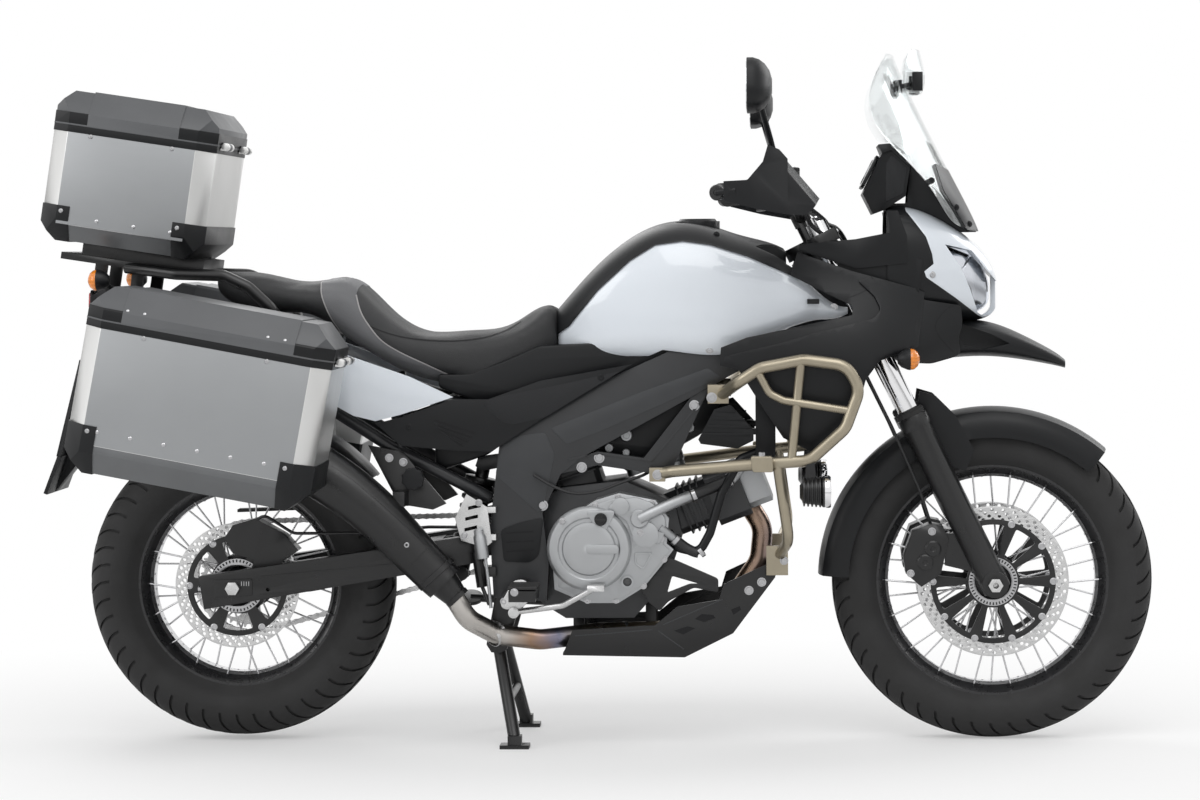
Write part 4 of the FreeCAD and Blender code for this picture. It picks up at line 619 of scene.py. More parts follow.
def radiator_mesh(name):
    """Fine upright fins between flat tubes, near-black down between the fins and rows as painted shade."""
    finish = Finish(name, (0.06, 0.06, 0.062), 0.4, 0.5)
    x, y, z = finish.axes()
    fins = finish.node("ShaderNodeMath", {"operation": "SINE"}, {0: (y + x) * 2600.0})
    rows = finish.node("ShaderNodeMath", {"operation": "SINE"}, {0: z * 560.0})
    height = (fins * 0.5 + 0.5) * finish.range(rows, -0.8, -0.3)
    # The colour follows the fins' height: near-black in the gaps is painted shade.
    finish.set("Base Color", finish.blend(height, (0.012, 0.012, 0.013), (0.09, 0.09, 0.092)))
    finish.bump(height, 0.0006)
    return finish.material


def dial_face(name):
    """A dark instrument face with paler cells."""
    finish = Finish(name, (0.02, 0.02, 0.022), 0.0, 0.2, Coat_Weight=0.8)
    cells = finish.node("ShaderNodeTexBrick", None, {"Vector": finish.place((30.0, 30.0, 30.0)),
                                                     "Scale": 1.0})
    finish.set("Base Color", finish.blend(cells * 0.15, (0.016, 0.017, 0.018), (0.2, 0.22, 0.2)))
    return finish.material


def white_floor(name):
    """White ground that keeps the machine's shadow near it and fades into the white room further off."""
    finish = Finish(name, (0.93, 0.93, 0.93), 0.0, 0.7, Specular_IOR_Level=0.05)
    x, y, z = finish.axes(finish.place((0.62, 1.0, 1.0)))
    away = finish.node("ShaderNodeMath", {"operation": "SQRT"}, {0: x * x + y * y})
    seen = finish.node("ShaderNodeLightPath", output="Is Camera Ray")
    share = seen * finish.range(away, 0.45, 1.7, 0.35, 1.0)
    glow = finish.node("ShaderNodeEmission", None, {"Color": (1.0, 1.0, 1.0, 1.0), "Strength": 1.0})
    shown = finish.node("ShaderNodeMixShader", None, {0: share, 1: Value(finish, finish.shader.outputs[0]),
                                                      2: glow})
    finish.tree.links.new(shown.socket, finish.tree.nodes["Material Output"].inputs["Surface"])
    return finish.material


FINISHES = {}


def make_finishes(colours):
    black = tuple(colours.plastic)
    FINISHES.update({
        "pearl": pearl_paint("pearl white paint", tuple(colours.paint)),
        "plastic": grained_plastic("grained black plastic", black),
        "frame": satin_paint("frame paint", (0.024, 0.025, 0.027), 0.34),
        "black_paint": satin_paint("satin black paint", (0.009, 0.009, 0.0095), 0.3),
        "engine": satin_paint("engine paint", (0.032, 0.033, 0.035), 0.4),
        "cast": cast_alloy("cast alloy", (0.46, 0.47, 0.48)),
        "case": brushed_metal("brushed case sheet", (0.78, 0.78, 0.77), 0.36),
        "lid": satin_paint("coated lid", (0.085, 0.088, 0.093), 0.4),
        "steel": brushed_metal("brushed steel", (0.66, 0.66, 0.66), 0.3, (60.0, 60.0, 60.0)),
        "front_disc": turned_steel("front disc steel", (0.7, 0.7, 0.7), FRONT_AXLE),
        "rear_disc": turned_steel("rear disc steel", (0.7, 0.7, 0.7), REAR_AXLE),
        "header": tinted_steel("heat tinted pipe"),
        "chrome": polished("chrome", (0.86, 0.86, 0.87)),
        "champagne": satin_paint("champagne bar coat", tuple(colours.bars), 0.3, 0.75),
        "rubber": tyre_rubber("tyre rubber"),
        "leather": leather("seat leather", (0.013, 0.0134, 0.0145)),
        "screen": clear_plastic("clear screen", (0.982, 0.988, 0.989)),
        "lens": clear_plastic("clear lens", (0.97, 0.98, 1.0)),
        "orange": lens_plastic("orange lens", (0.9, 0.27, 0.02)),
        "red_lens": lens_plastic("red lens", (0.5, 0.01, 0.012)),
        "case_side": brushed_metal("grey case side", (0.36, 0.37, 0.38), 0.42, (3.0, 300.0, 300.0), 0.75),
        "case_foot": satin_paint("grey case foot", (0.145, 0.15, 0.155), 0.38, 0.5),
        "lid_corner": grained_plastic("grey lid corner", (0.11, 0.113, 0.118), 0.42, 700.0),
        "bright": polished("bright fastener", (0.5, 0.5, 0.51), 0.26),
        "front_spokes": spoked_metal("front rim and spokes", FRONT_AXLE, 0.056, 0.219),
        "rear_spokes": spoked_metal("rear rim and spokes", REAR_AXLE, 0.062, 0.194),
        "stripe": leather("grey seat stripe", (0.13, 0.132, 0.138)),
        "glass": polished("mirror glass", (0.8, 0.82, 0.84), 0.02),
        "red": satin_paint("red switch", (0.6, 0.02, 0.015), 0.35),
        # Near-black plastic laid over gaps, seams, vents, slots, windows and grooves: the shade inside them
        # painted on as a colour.
        "dark": grained_plastic("dark recess", (0.006, 0.006, 0.007), 0.6),
        "mesh": radiator_mesh("radiator fins"),
        "textured": grained_plastic("textured inset", (0.018, 0.0185, 0.02), 0.66, 420.0, 0.0003),
        "hose": satin_paint("hose rubber", (0.014, 0.014, 0.015), 0.5),
        "dial": dial_face("dial face"),
        "piping": leather("pale piping", (0.34, 0.33, 0.33)),
        "bowl": polished("lamp bowl", (0.72, 0.73, 0.75), 0.12),
        "ribbed": ribbed_plastic("ribbed shroud", (0.02, 0.02, 0.022)),
        # A lighter copy of the frame's black paint for the spar faces and the skid plate's folds: painted
        # highlight where flat faces and bends catch light.
        "spar": satin_paint("spar face", (0.045, 0.047, 0.05), 0.36, 0.3),
    })


SLOT_FINISH = {
    "frame_paint": "frame", "alloy_grey": "cast", "alloy_case": "case", "case_lid_skin": "lid",
    "engine_dark": "engine", "steel": "steel", "hot_steel": "header", "chrome_tube": "chrome",
    "black_steel": "black_paint", "champagne": "champagne", "white_plastic": "pearl",
    "black_plastic": "plastic", "tyre_rubber": "rubber", "rim_black": "black_paint",
    "seat_leather": "leather", "clear_screen": "screen", "lamp_lens": "lens", "orange_lens": "orange",
    "mirror_shell": "plastic",
}


# Settings

class ColourSettings(bpy.types.PropertyGroup):
    """Colours of the painted and moulded pieces."""
    paint: FloatVectorProperty(name="Body paint", description="Colour of the painted panels", subtype="COLOR",
                               default=(0.79, 0.838, 0.875), min=0.0, max=1.0)
    plastic: FloatVectorProperty(name="Moulded plastic", description="Colour of the unpainted panels",
                                 subtype="COLOR", default=(0.0075, 0.008, 0.009), min=0.0, max=1.0)
    bars: FloatVectorProperty(name="Crash bars", description="Colour of the crash bars' coat",
                              subtype="COLOR", default=(0.36, 0.318, 0.24), min=0.0, max=1.0)


class StageSettings(bpy.types.PropertyGroup):
    """The studio round the machine."""
    lamp_power: FloatProperty(name="Lamp power", description="Power of each soft lamp", default=78.0, min=0.0,
                              unit="POWER")
    world_level: FloatProperty(name="World level", description="Brightness of the light from all round",
                               default=0.5, min=0.0, subtype="FACTOR")


NODE_FINISH = {
    "front_rim": "front_spokes", "rear_rim": "rear_spokes", "front_discs": "front_disc",
    "rear_disc": "rear_disc", "brake_hoses": "hose", "turn_signals": "plastic",
}
PLAIN_NODES = ("front_rim", "rear_rim", "front_tyre", "rear_tyre", "chain", "rear_sprocket", "seat")


def soften_node(node):
    """Merge a node's loose triangles on the fly, soften its hard edges a little and shade it smooth."""
    weld = node.modifiers.new("weld", "WELD")
    weld.merge_threshold = NODE_WELD
    if node.name not in PLAIN_NODES:
        edge = node.modifiers.new("edge", "BEVEL")
        edge.width = 0.0007
        edge.segments = 2
        edge.limit_method = "ANGLE"
        edge.angle_limit = math.radians(32.0)
        edge.harden_normals = True
    split = node.modifiers.new("split", "EDGE_SPLIT")
    split.split_angle = math.radians(32.0)
    node.data.polygons.foreach_set("use_smooth", [True] * len(node.data.polygons))


# Operators

class MOTORCYCLE_OT_finishes(bpy.types.Operator):
    """Make the finishes and put them on the frame's own nodes"""
    bl_idname = "motorcycle.finishes"
    bl_label = "Finishes"

    def execute(self, context):
        make_finishes(context.scene.motorcycle_colours)
        for row in frame["record"]["subparts"]:
            node = NODES[row["node"]]
            finish = NODE_FINISH.get(row["node"], SLOT_FINISH[row["material_slot"]])
            node.material_slots[0].material = FINISHES[finish]
            soften_node(node)
        return {"FINISHED"}


# Luggage

class Case:
    """One luggage case: where its lower corner line stands, its sizes and its outer faces' y values."""

    def __init__(self, node, lid_body, x, z, tilt, half, height, lid, faces, edge, band, cap):
        self.node, self.lid_body = node, lid_body
        self.x, self.z, self.tilt = x, z, tilt
        self.half, self.height, self.lid = half, height, lid
        self.faces, self.edge, self.band, self.cap = faces, edge, band, cap

    def set_down(self, piece):
        return tilted(piece, self.x, self.z, self.tilt)

    def region(self, outlines):
        """A block through the whole case for each outline in its side view."""
        blocks = [plate([outline], -620.0, 620.0, edge=0.0) for outline in outlines]
        return self.set_down(joined(blocks))

    def frame_out(self, x0, x1, z0, z1):
        return [(x0, z0), (x1, z0), (x1, z1), (x0, z1)]


CASES = (
    Case("pannier_right", "right_lid", -785.0, 554.5, 11.0, 245.0, 300.0, 67.0, (-480.0,), 36.0, 70.0, 62.0),
    Case("pannier_left", "left_lid", -785.0, 554.5, 11.0, 245.0, 300.0, 67.0, (480.0,), 36.0, 70.0, 62.0),
    Case("top_box", "top_lid", -960.0, 1029.5, 9.0, 168.0, 235.0, 69.0, (-205.0, 205.0), 36.0, 46.0, 62.0),
)
RAIL = 15.0
LID_RAIL = 24.0
LID_CORNER = 74.0
BEYOND = 40.0
HINGE_SIDE = 3.0
LATCH_LEAN = 37.6


def case_skin(case, node, suffix, outlines, lift, finish, edge, body="chassis"):
    """The part of a case's or lid's surface inside outlines in its side view, raised and softened."""
    deliver(softened(patch(node, case.region(outlines), lift), edge), node + suffix, finish, body)


def case_body_trim(case):
    """Side sheets, the dark foot, rails and moulded corner caps of a case's lower part."""
    half, top = case.half, case.height
    reach = half + BEYOND
    foot = [case.frame_out(-reach, reach, -BEYOND, case.band - 14.0)]
    case_skin(case, case.node, "_foot", foot, 0.5, "case_foot", 0.4)
    rail = [case.frame_out(-reach, half + HINGE_SIDE, top - RAIL, top - 0.5)]
    case_skin(case, case.node, "_rail", rail, 1.8, "plastic", 0.6)
    caps = [case.frame_out(-reach, -half + case.cap, -BEYOND, case.band + 24.0),
            case.frame_out(half - case.cap, reach, -BEYOND, case.band + 24.0)]
    case_skin(case, case.node, "_corner_caps", caps, 3.0, "plastic", 1.2)
    sheets = []
    for face in case.faces:
        out = math.copysign(1.0, face)
        sheet = plate([case.frame_out(-half + case.edge + 1, half - case.edge - 1, case.band - 13.0,
                                      top - RAIL)],
                      face, face + out * 0.9, edge=0.3)
        sheets.append(case.set_down(sheet))
    deliver(joined(sheets), case.node + "_side_sheet", "case_side")


def case_lid_trim(case):
    """The lid's dark rail and its moulded corners, which ride on the lid."""
    half, low = case.half, case.height + 1.5
    reach = half + BEYOND
    lid = case.node + "_lid"
    rail = [case.frame_out(-reach, half + HINGE_SIDE, low, low + LID_RAIL)]
    case_skin(case, lid, "_rail", rail, 1.8, "plastic", 0.6, case.lid_body)
    top = low + case.lid + 20.0
    corners = [case.frame_out(-reach, -half + LID_CORNER, low + 1.0, top),
               case.frame_out(half - LID_CORNER, half + HINGE_SIDE, low + 1.0, top)]
    case_skin(case, lid, "_corners", corners, 2.6, "lid_corner", 1.0, case.lid_body)


def case_fasteners(case):
    """Screws in the rails and caps, and the row of rivets along each side."""
    screws = []
    rivets = []
    count = 6 if case.half > 200 else 4
    for face in case.faces:
        out = math.copysign(1.0, face)
        spots = [(-case.half * 0.5, case.height - 19.0), (case.half * 0.5, case.height - 19.0)]
        for x, z in spots:
            screws.append(((x, face + out * 0.6, z), (0, out, 0)))
        for x in (-case.half + case.edge + 9.0, case.half - case.edge - 15.0):
            screws.append(((x, face + out * 3.0, case.band + 13.0), (0, out, 0)))
        first, last = -case.half * 0.74, case.half * 0.62
        for i in range(count):
            x = first + (last - first) * i / (count - 1)
            rivets.append(((x, face + out * 0.9, case.band + (14.0 if count == 6 else 2.0)), (0, out, 0)))
    head = turned([(4.6, -0.6), (4.6, 0.8), (3.6, 1.8), (1.6, 2.0), (1.3, 0.8), (0, 0.8)], steps=14)
    deliver(case.set_down(scattered(head, screws)), case.node + "_screws", "bright")
    deliver(case.set_down(scattered(rivet(4.2, 1.8), rivets)), case.node + "_rivets", "bright")


def pannier_latches(case):
    """Two pressed alloy latches with slots on the lid's sloped outer edge."""
    face = case.faces[0]
    out = math.copysign(1.0, face)
    latches = []
    for x in (-146.0, 133.0):
        rim = rounded([(-25, 0), (25, 0), (25, 52), (-25, 52)], 5.0)
        slots = [rounded([(-15, low), (15, low), (15, low + 9), (-15, low + 9)], 3.0) for low in (16.0, 33.0)]
        latch = plate([rim] + slots, -1.4, 1.4, edge=0.6)
        dots = scattered(rivet(3.2, 1.2), [((dx, out * 1.4, 8.0), (0, out, 0)) for dx in (-17.0, 17.0)])
        latch = joined([dots, latch])
        latch.rotation_euler = (math.radians(out * LATCH_LEAN), 0.0, 0.0)
        latch.location = (x * MM, (face + out * 1.0) * MM, (case.height + 21.0) * MM)
        latches.append(settle(latch))
    deliver(case.set_down(joined(latches)), case.node + "_latches", "bright", case.lid_body)


class MOTORCYCLE_OT_luggage(bpy.types.Operator):
    """Dress the three alloy cases with sheets, rails, caps, latches, screws and rivets"""
    bl_idname = "motorcycle.luggage"
    bl_label = "Luggage"

    def execute(self, context):
        for case in CASES:
            case_body_trim(case)
            case_lid_trim(case)
            case_fasteners(case)
        for case in CASES[:2]:
            pannier_latches(case)
        return {"FINISHED"}


# Wheels

class Wheel:
    """One wheel's axle, tyre and rim sizes in millimetres, and the body it rides on."""

    def __init__(self, name, body, x, z, radius, half_width, rim_radius, rim_half):
        self.name, self.body = name, body
        self.x, self.z = x, z
        self.radius, self.half_width = radius, half_width
        self.rim_radius, self.rim_half = rim_radius, rim_half


FRONT_WHEEL = Wheel("front", "front_wheel", 816.0, 329.3, 329.3, 55.0, 241.3, 40.0)
REAR_WHEEL = Wheel("rear", "rear_wheel", -744.0, 329.3, 320.9, 75.0, 215.9, 57.0)
TREAD_COLUMNS = 288
TREAD_DEPTH = 5.0


def tyre_section(wheel):
    """Points across the tyre from bead to bead, as lateral place and radius, with a rib on each wall."""
    middle = (wheel.radius + wheel.rim_radius) / 2 - 6.0
    high = wheel.radius - middle
    points = []
    for step in range(-15, 16):
        angle = math.radians(step * 8.4)
        wide = wheel.half_width * math.copysign(abs(math.sin(angle)) ** 0.86, angle)
        tall = high * math.copysign(abs(math.cos(angle)) ** 0.86, math.cos(angle))
        rib = 0.8 if abs(step) == 11 else 0.0
        points.append((wide + math.copysign(rib, angle), middle + tall))
    bead, bead_radius = wheel.rim_half - 1.5, wheel.rim_radius - 3.0
    return [(-bead, bead_radius)] + points + [(bead, bead_radius)]


def groove_lean(wheel, y):
    """How far round the tyre, in radians, the pattern leans at a lateral place."""
    share = min(abs(y) / wheel.half_width, 1.0)
    return 0.17 * share ** 1.3


def in_groove(wheel, centre):
    """Whether a face of the skewed grid lies in the tread's pattern."""
    y = centre.y / MM
    share = abs(y) / wheel.half_width
    across = math.hypot(centre.x / MM - wheel.x, centre.z / MM - wheel.z)
    if across < wheel.radius - wheel.half_width * 0.62:
        return False
    heading = math.atan2(centre.z / MM - wheel.z, centre.x / MM - wheel.x) + groove_lean(wheel, y)
    column = int((heading % math.tau) / math.tau * TREAD_COLUMNS)
    column = (column + (6 if y > 0 else 0)) % 12
    if 0.16 < share < 0.34:
        return column in (0, 1) or column in (5, 6, 7)
    if 0.34 < share < 0.42:
        return column in (0, 1, 2, 3, 4, 5, 6, 7)
    return column == 0 and share > 0.34 or column == 6 and share > 0.62


def tyre_piece(wheel):
    """A tyre spun from a section whose points lean round the axle, with its pattern pressed in."""
    data = bpy.data.curves.new("section", "CURVE")
    data.dimensions = "3D"
    points = []
    for y, r in tyre_section(wheel):
        lean = -groove_lean(wheel, y)
        points.append((wheel.x + r * math.cos(lean), y, wheel.z + r * math.sin(lean)))
    add_line(data, millimetres(points), False)
    tyre = curve_piece(data)
    choose(tyre)
    bpy.ops.object.mode_set(mode="EDIT")
    bpy.ops.mesh.select_all(action="SELECT")
    centre = (wheel.x * MM, 0.0, wheel.z * MM)
    bpy.ops.mesh.spin(steps=TREAD_COLUMNS, angle=math.tau, center=centre, axis=(0, 1, 0))
    bpy.ops.object.mode_set(mode="OBJECT")
    mend(tyre)
    outward = sum(1 for face in tyre.data.polygons[:400]
                  if face.normal.dot(face.center - Vector((centre[0], face.center.y, centre[2]))) > 0)
    if outward < 200:
        choose(tyre)
        bpy.ops.object.mode_set(mode="EDIT")
        bpy.ops.mesh.select_all(action="SELECT")
        bpy.ops.mesh.flip_normals()
        bpy.ops.object.mode_set(mode="OBJECT")
    pick_faces(tyre, lambda spot, normal: in_groove(wheel, spot))
    bpy.ops.mesh.extrude_region_shrink_fatten(TRANSFORM_OT_shrink_fatten={"value": -TREAD_DEPTH * MM})
    bpy.ops.object.mode_set(mode="OBJECT")
    deliver(tyre, wheel.name + "_tread", "rubber", wheel.body, 40.0)
    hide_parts(wheel.name + "_tyre")


def spoke_nipples(wheel):
    """Spoke nipples round the rim, on its two sides by turns."""
    spots = []
    reach = wheel.rim_radius - 17.0
    for i in range(36):
        angle = math.tau * (i + 0.5) / 36
        out = (math.cos(angle), 0.0, math.sin(angle))
        side = (-1 if i % 2 else 1) * 8.0
        spots.append(((wheel.x + out[0] * reach, side, wheel.z + out[2] * reach),
                      (-out[0], -side * 0.012, -out[2])))
    nipple = turned([(3.4, -6.0), (3.4, 0.0), (2.6, 4.0), (2.4, 12.0), (0.0, 12.0)], steps=8)
    deliver(scattered(nipple, spots), wheel.name + "_nipples", "bright", wheel.body)


def disc_ring(x, z, outer, inner, rows, count, low, high):
    """A drilled brake ring between two y planes."""
    holes = [circle(x, z, inner, 72)]
    for row, radius in enumerate(rows):
        for i in range(count):
            angle = math.tau * (i + row * 0.36) / count
            holes.append(circle(x + radius * math.cos(angle), z + radius * math.sin(angle), 3.6, 10))
    return plate([circle(x, z, outer, 96)] + holes, low, high, edge=0.4)


def disc_carrier(x, z, outer, inner, arms, low, high):
    """The dark star that carries a ring: arms with windows between them."""
    windows = []
    for i in range(arms):
        start, end = math.tau * (i + 0.17) / arms, math.tau * (i + 0.83) / arms
        low_r, high_r = inner + 14.0, outer - 11.0
        steps = [start + (end - start) * k / 4 for k in range(5)]
        window = [(x + low_r * math.cos(a), z + low_r * math.sin(a)) for a in steps]
        window += [(x + high_r * math.cos(a), z + high_r * math.sin(a)) for a in reversed(steps)]
        windows.append(rounded(window, 4.0, 2))
    return plate([circle(x, z, outer, 72), circle(x, z, inner, 40)] + windows, low, high, edge=0.6)


def disc_set(wheel, faces, outer, inner, rows, arms, finish, hub_out):
    """Rings, carriers and floating buttons for a wheel's brake discs."""
    x, z = wheel.x, wheel.z
    rings = []
    stars = []
    buttons = []
    for y in faces:
        rings.append(disc_ring(x, z, outer, inner, rows, 40, y - 2.4, y + 2.4))
        stars.append(disc_carrier(x, z, inner + 6.0, hub_out, arms, y - 3.4, y + 3.4))
        for i in range(arms):
            angle = math.tau * i / arms
            spot = (x + (inner + 1.0) * math.cos(angle), y, z + (inner + 1.0) * math.sin(angle))
            for out in (-1.0, 1.0):
                buttons.append(((spot[0], y + out * 2.6, spot[2]), (0, out, 0)))
    ring = deliver(joined(rings), wheel.name + "_disc_rings", finish, wheel.body)
    deliver(joined(stars), wheel.name + "_disc_carriers", "black_paint", wheel.body)
    button = turned([(7.4, -0.4), (7.4, 1.4), (5.0, 2.2), (4.4, 1.0), (0.0, 1.0)], steps=14)
    deliver(scattered(button, buttons), wheel.name + "_disc_buttons", "bright", wheel.body)
    return ring


def sensor_ring(wheel, y, radius, name):
    """A slotted ring for the wheel speed sensor."""
    x, z = wheel.x, wheel.z
    slots = [circle(x, z, radius - 13.0, 40)]
    for i in range(44):
        a = math.tau * i / 44
        slot = []
        for r, turn in ((radius - 7.5, -0.028), (radius - 1.8, -0.028), (radius - 1.8, 0.028),
                        (radius - 7.5, 0.028)):
            slot.append((x + r * math.cos(a + turn), z + r * math.sin(a + turn)))
        slots.append(slot)
    deliver(plate([circle(x, z, radius, 72)] + slots, y - 1.2, y + 1.2, edge=0.2), name, "bright", wheel.body)


CHAIN_Y = 91.0
CHAIN_PITCH = 15.875
FRONT_SPROCKET = (-95.0, 425.0, 38.0)
REAR_SPROCKET = (-744.0, 329.3, 118.0)


def chain_line():
    """Points one pitch apart along both runs and round both sprockets."""
    (ax, az, ar), (bx, bz, br) = FRONT_SPROCKET, REAR_SPROCKET
    gap = math.hypot(bx - ax, bz - az)
    along = math.atan2(bz - az, bx - ax)
    lean = math.acos((ar - br) / gap)
    route = []
    for step in range(25):
        a = along + lean + (math.tau - 2 * lean) * step / 24
        route.append(Vector((ax + ar * math.cos(a), az + ar * math.sin(a))))
    for step in range(49):
        a = along - lean + 2 * lean * step / 48
        route.append(Vector((bx + br * math.cos(a), bz + br * math.sin(a))))
    route.append(route[0])
    total = sum((b - a).length for a, b in zip(route, route[1:]))
    count = 2 * round(total / CHAIN_PITCH / 2)
    spots = []
    walked = 0.0
    step = total / count
    for a, b in zip(route, route[1:]):
        length = (b - a).length
        while len(spots) < count and step * len(spots) < walked + length:
            spots.append(a + (b - a) * ((step * len(spots) - walked) / length))
        walked += length
    return spots


def chain_piece():
    """Rollers and alternate inner and outer link plates all along the chain's run."""
    spots = chain_line()
    pieces = []
    plates = {}
    half = CHAIN_PITCH / 2
    for kind, reach in (("inner", 7.0), ("outer", 9.2)):
        waist = [(half + 5.6 * math.cos(a), 5.6 * math.sin(a)) for a in (-1.4, -0.7, 0.0, 0.7, 1.4)]
        rim = waist + [(0.0, 4.0)] + [(-p[0], -p[1]) for p in waist] + [(0.0, -4.0)]
        pair = [plate([rim], y - 0.9, y + 0.9, edge=0.0) for y in (-reach, reach)]
        plates[kind] = joined(pair)
    roller = turned([(0, -6.2), (4.4, -6.2), (4.4, 6.2), (0, 6.2)], (0, 0, 0), (0, 1, 0), 8)
    pin = turned([(0, -10.6), (2.4, -10.6), (2.4, 10.6), (0, 10.6)], (0, 0, 0), (0, 1, 0), 6)
    barrel = joined([pin, roller])
    for i, spot in enumerate(spots):
        after = spots[(i + 1) % len(spots)]
        middle = (spot + after) / 2
        turn = -math.atan2(after.y - spot.y, after.x - spot.x)
        for model, place in ((plates["outer" if i % 2 else "inner"], middle), (barrel, spot)):
            copy = twin(model)
            copy.rotation_euler = (0.0, turn, 0.0)
            copy.location = (place.x * MM, CHAIN_Y * MM, place.y * MM)
            pieces.append(copy)
    for model in (plates["inner"], plates["outer"], barrel):
        bpy.data.objects.remove(model)
    sprocket = turned([(12, -3), (33, -3), (33, 3), (12, 3)], (FRONT_SPROCKET[0], CHAIN_Y, FRONT_SPROCKET[1]),
                      (0, 1, 0), 24)
    chain = deliver(settle(joined(pieces + [sprocket])), "drive_chain_links", "steel")
    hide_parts("chain")


class MOTORCYCLE_OT_wheels(bpy.types.Operator):
    """Make the patterned tyres, drilled discs, spoke nipples and the chain's links"""
    bl_idname = "motorcycle.wheels"
    bl_label = "Wheels and chain"

    def execute(self, context):
        for wheel in (FRONT_WHEEL, REAR_WHEEL):
            tyre_piece(wheel)
            spoke_nipples(wheel)
        front = disc_set(FRONT_WHEEL, (-60.0, 60.0), 154.5, 122.0, (128.0, 134.5, 141.0, 147.5), 10,
                         "front_disc", 40.0)
        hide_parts("front_discs")
        rear = disc_set(REAR_WHEEL, (-82.5,), 129.5, 99.0, (105.0, 111.0, 117.0, 123.0), 6, "rear_disc", 42.0)
        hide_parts("rear_disc")
        sensor_ring(FRONT_WHEEL, -66.5, 50.0, "front_sensor_ring")
        sensor_ring(REAR_WHEEL, -88.0, 56.0, "rear_sensor_ring")
        chain_piece()
        return {"FINISHED"}


# Bodywork

BOTH = (-1.0, 1.0)
THROUGH = 620.0


def meets(names, x, z, side=-1.0):
    """Where a side-on line first meets any of these nodes, in millimetres, and that surface's normal."""
    best = None
    for name in names:
        start = Vector((x * MM, side, z * MM))
        hit, spot, normal = NODES[name].ray_cast(start, Vector((0.0, -side, 0.0)))[:3]
        spot = spot / MM
        if hit and (best is None or spot.y * side > best[0].y * side):
            best = (spot, normal.copy())
    if best is None:
        raise ValueError(f"no surface of {names} at {x}, {z}")
    return best


def seated(model, names, places, sides=BOTH, square=True):
    """Copies of a piece standing on the outer surfaces of these nodes at places in the side view."""
    spots = []
    for side in sides:
        for x, z in places:
            spot, normal = meets(names, x, z, side)
            spots.append((spot, (0.0, side, 0.0) if square else normal))
    return scattered(model, spots)


def bolted(name, nodes, places, radius=6.0, height=5.0, sides=BOTH, body="chassis", finish="bright"):
    deliver(seated(bolt_head(radius, height, radius * 0.5), nodes, places, sides), name, finish, body)


def region_of(*outlines):
    """Blocks through the whole machine, one for each outline in the side view."""
    return joined([plate([outline], -THROUGH, THROUGH, edge=0.0) for outline in outlines])


def band(points, width):
    """The outline of a strip of even width along a line in the side view."""
    left, right = [], []
    for i, point in enumerate(points):
        before = Vector(points[max(i - 1, 0)])
        after = Vector(points[min(i + 1, len(points) - 1)])
        along = (after - before).normalized()
        across = Vector((-along.y, along.x)) * width / 2
        left.append(tuple(Vector(point) + across))
        right.append(tuple(Vector(point) - across))
    return left + right[::-1]


def flowing(points, steps=5):
    """Points along a smooth line through the given points."""
    result = []
    ends = [points[0]] + list(points) + [points[-1]]
    for i in range(len(points) - 1):
        a, b, c, d = [Vector(p) for p in ends[i:i + 4]]
        for step in range(steps):
            t = step / steps
            bend = a * 2 - b * 5 + c * 4 - d
            twist = b * 3 - a - c * 3 + d
            spot = (b * 2 + (c - a) * t + bend * t * t + twist * t ** 3) / 2
            result.append(tuple(spot))
    return result + [tuple(points[-1])]


def relief(name, node, outlines, lift, finish, edge=0.0, body="chassis", smooth=32.0):
    """The part of a node's surface inside outlines in the side view, raised, with softened edges."""
    skin = patch(node, region_of(*outlines), lift)
    if edge:
        softened(skin, edge)
    return deliver(skin, name, finish, body, smooth)


def seam(name, node, lines, width=1.8, body="chassis", finish="dark", lift=0.25):
    """Gap lines between panels, as thin dark strips that follow a node's surface: the gaps' shade painted on.
    """
    relief(name, node, [band(flowing(line), width) for line in lines], lift, finish, body=body)


def laid(piece, place, across, up):
    """A piece modelled flat, turned so that its x runs across and its y runs up, and moved to its place."""
    across = Vector(across).normalized()
    up = Vector(up).normalized()
    out = across.cross(up)
    turn = Matrix((across, up, out)).transposed()
    piece.rotation_euler = turn.to_euler()
    piece.location = Vector(place) * MM
    return settle(piece)


SEAT_STRIPE = [(-559, 958), (-552, 925), (-535, 882), (-518, 852), (-500, 826), (-470, 806), (-400, 768),
               (-320, 736), (-290, 722), (-250, 722), (-231, 740), (-270, 752), (-333, 783), (-393, 812),
               (-430, 836), (-455, 866), (-472, 894), (-484, 930), (-480, 956), (-500, 964), (-540, 964)]
SEAT_EDGE = [(-459, 868), (-420, 852), (-372, 840), (-300, 834), (-235, 838), (-185, 852), (-150, 872)]
FOAM_VOXEL = 0.006
FOAM_PRESSURE = 4.0
FOAM_FRAMES = 20
FOAM_REACH = 0.006


def seat_cushion():
    """The seat's cover over its foam, swollen a little as cloth and smoothed."""
    seat = node_copy("seat")
    modify(seat, "DISPLACE", direction="NORMAL", strength=-0.002, mid_level=0.0)
    modify(seat, "REMESH", mode="VOXEL", voxel_size=FOAM_VOXEL)
    rest = [vertex.co.copy() for vertex in seat.data.vertices]
    choose(seat)
    bpy.ops.object.modifier_add(type="CLOTH")
    cloth = seat.modifiers[-1]
    cloth.settings.use_pressure = True
    cloth.settings.uniform_pressure_force = FOAM_PRESSURE
    cloth.settings.effector_weights.gravity = 0.0
    for step in range(1, FOAM_FRAMES + 1):
        bpy.context.scene.frame_set(step)
    bpy.ops.object.modifier_apply(modifier=cloth.name)
    bpy.context.scene.frame_set(1)
    for vertex, start in zip(seat.data.vertices, rest):
        move = vertex.co - start
        if move.length > FOAM_REACH:
            vertex.co = start + move * (FOAM_REACH / move.length)
    modify(seat, "SMOOTH", factor=0.5, iterations=6)
    return seat


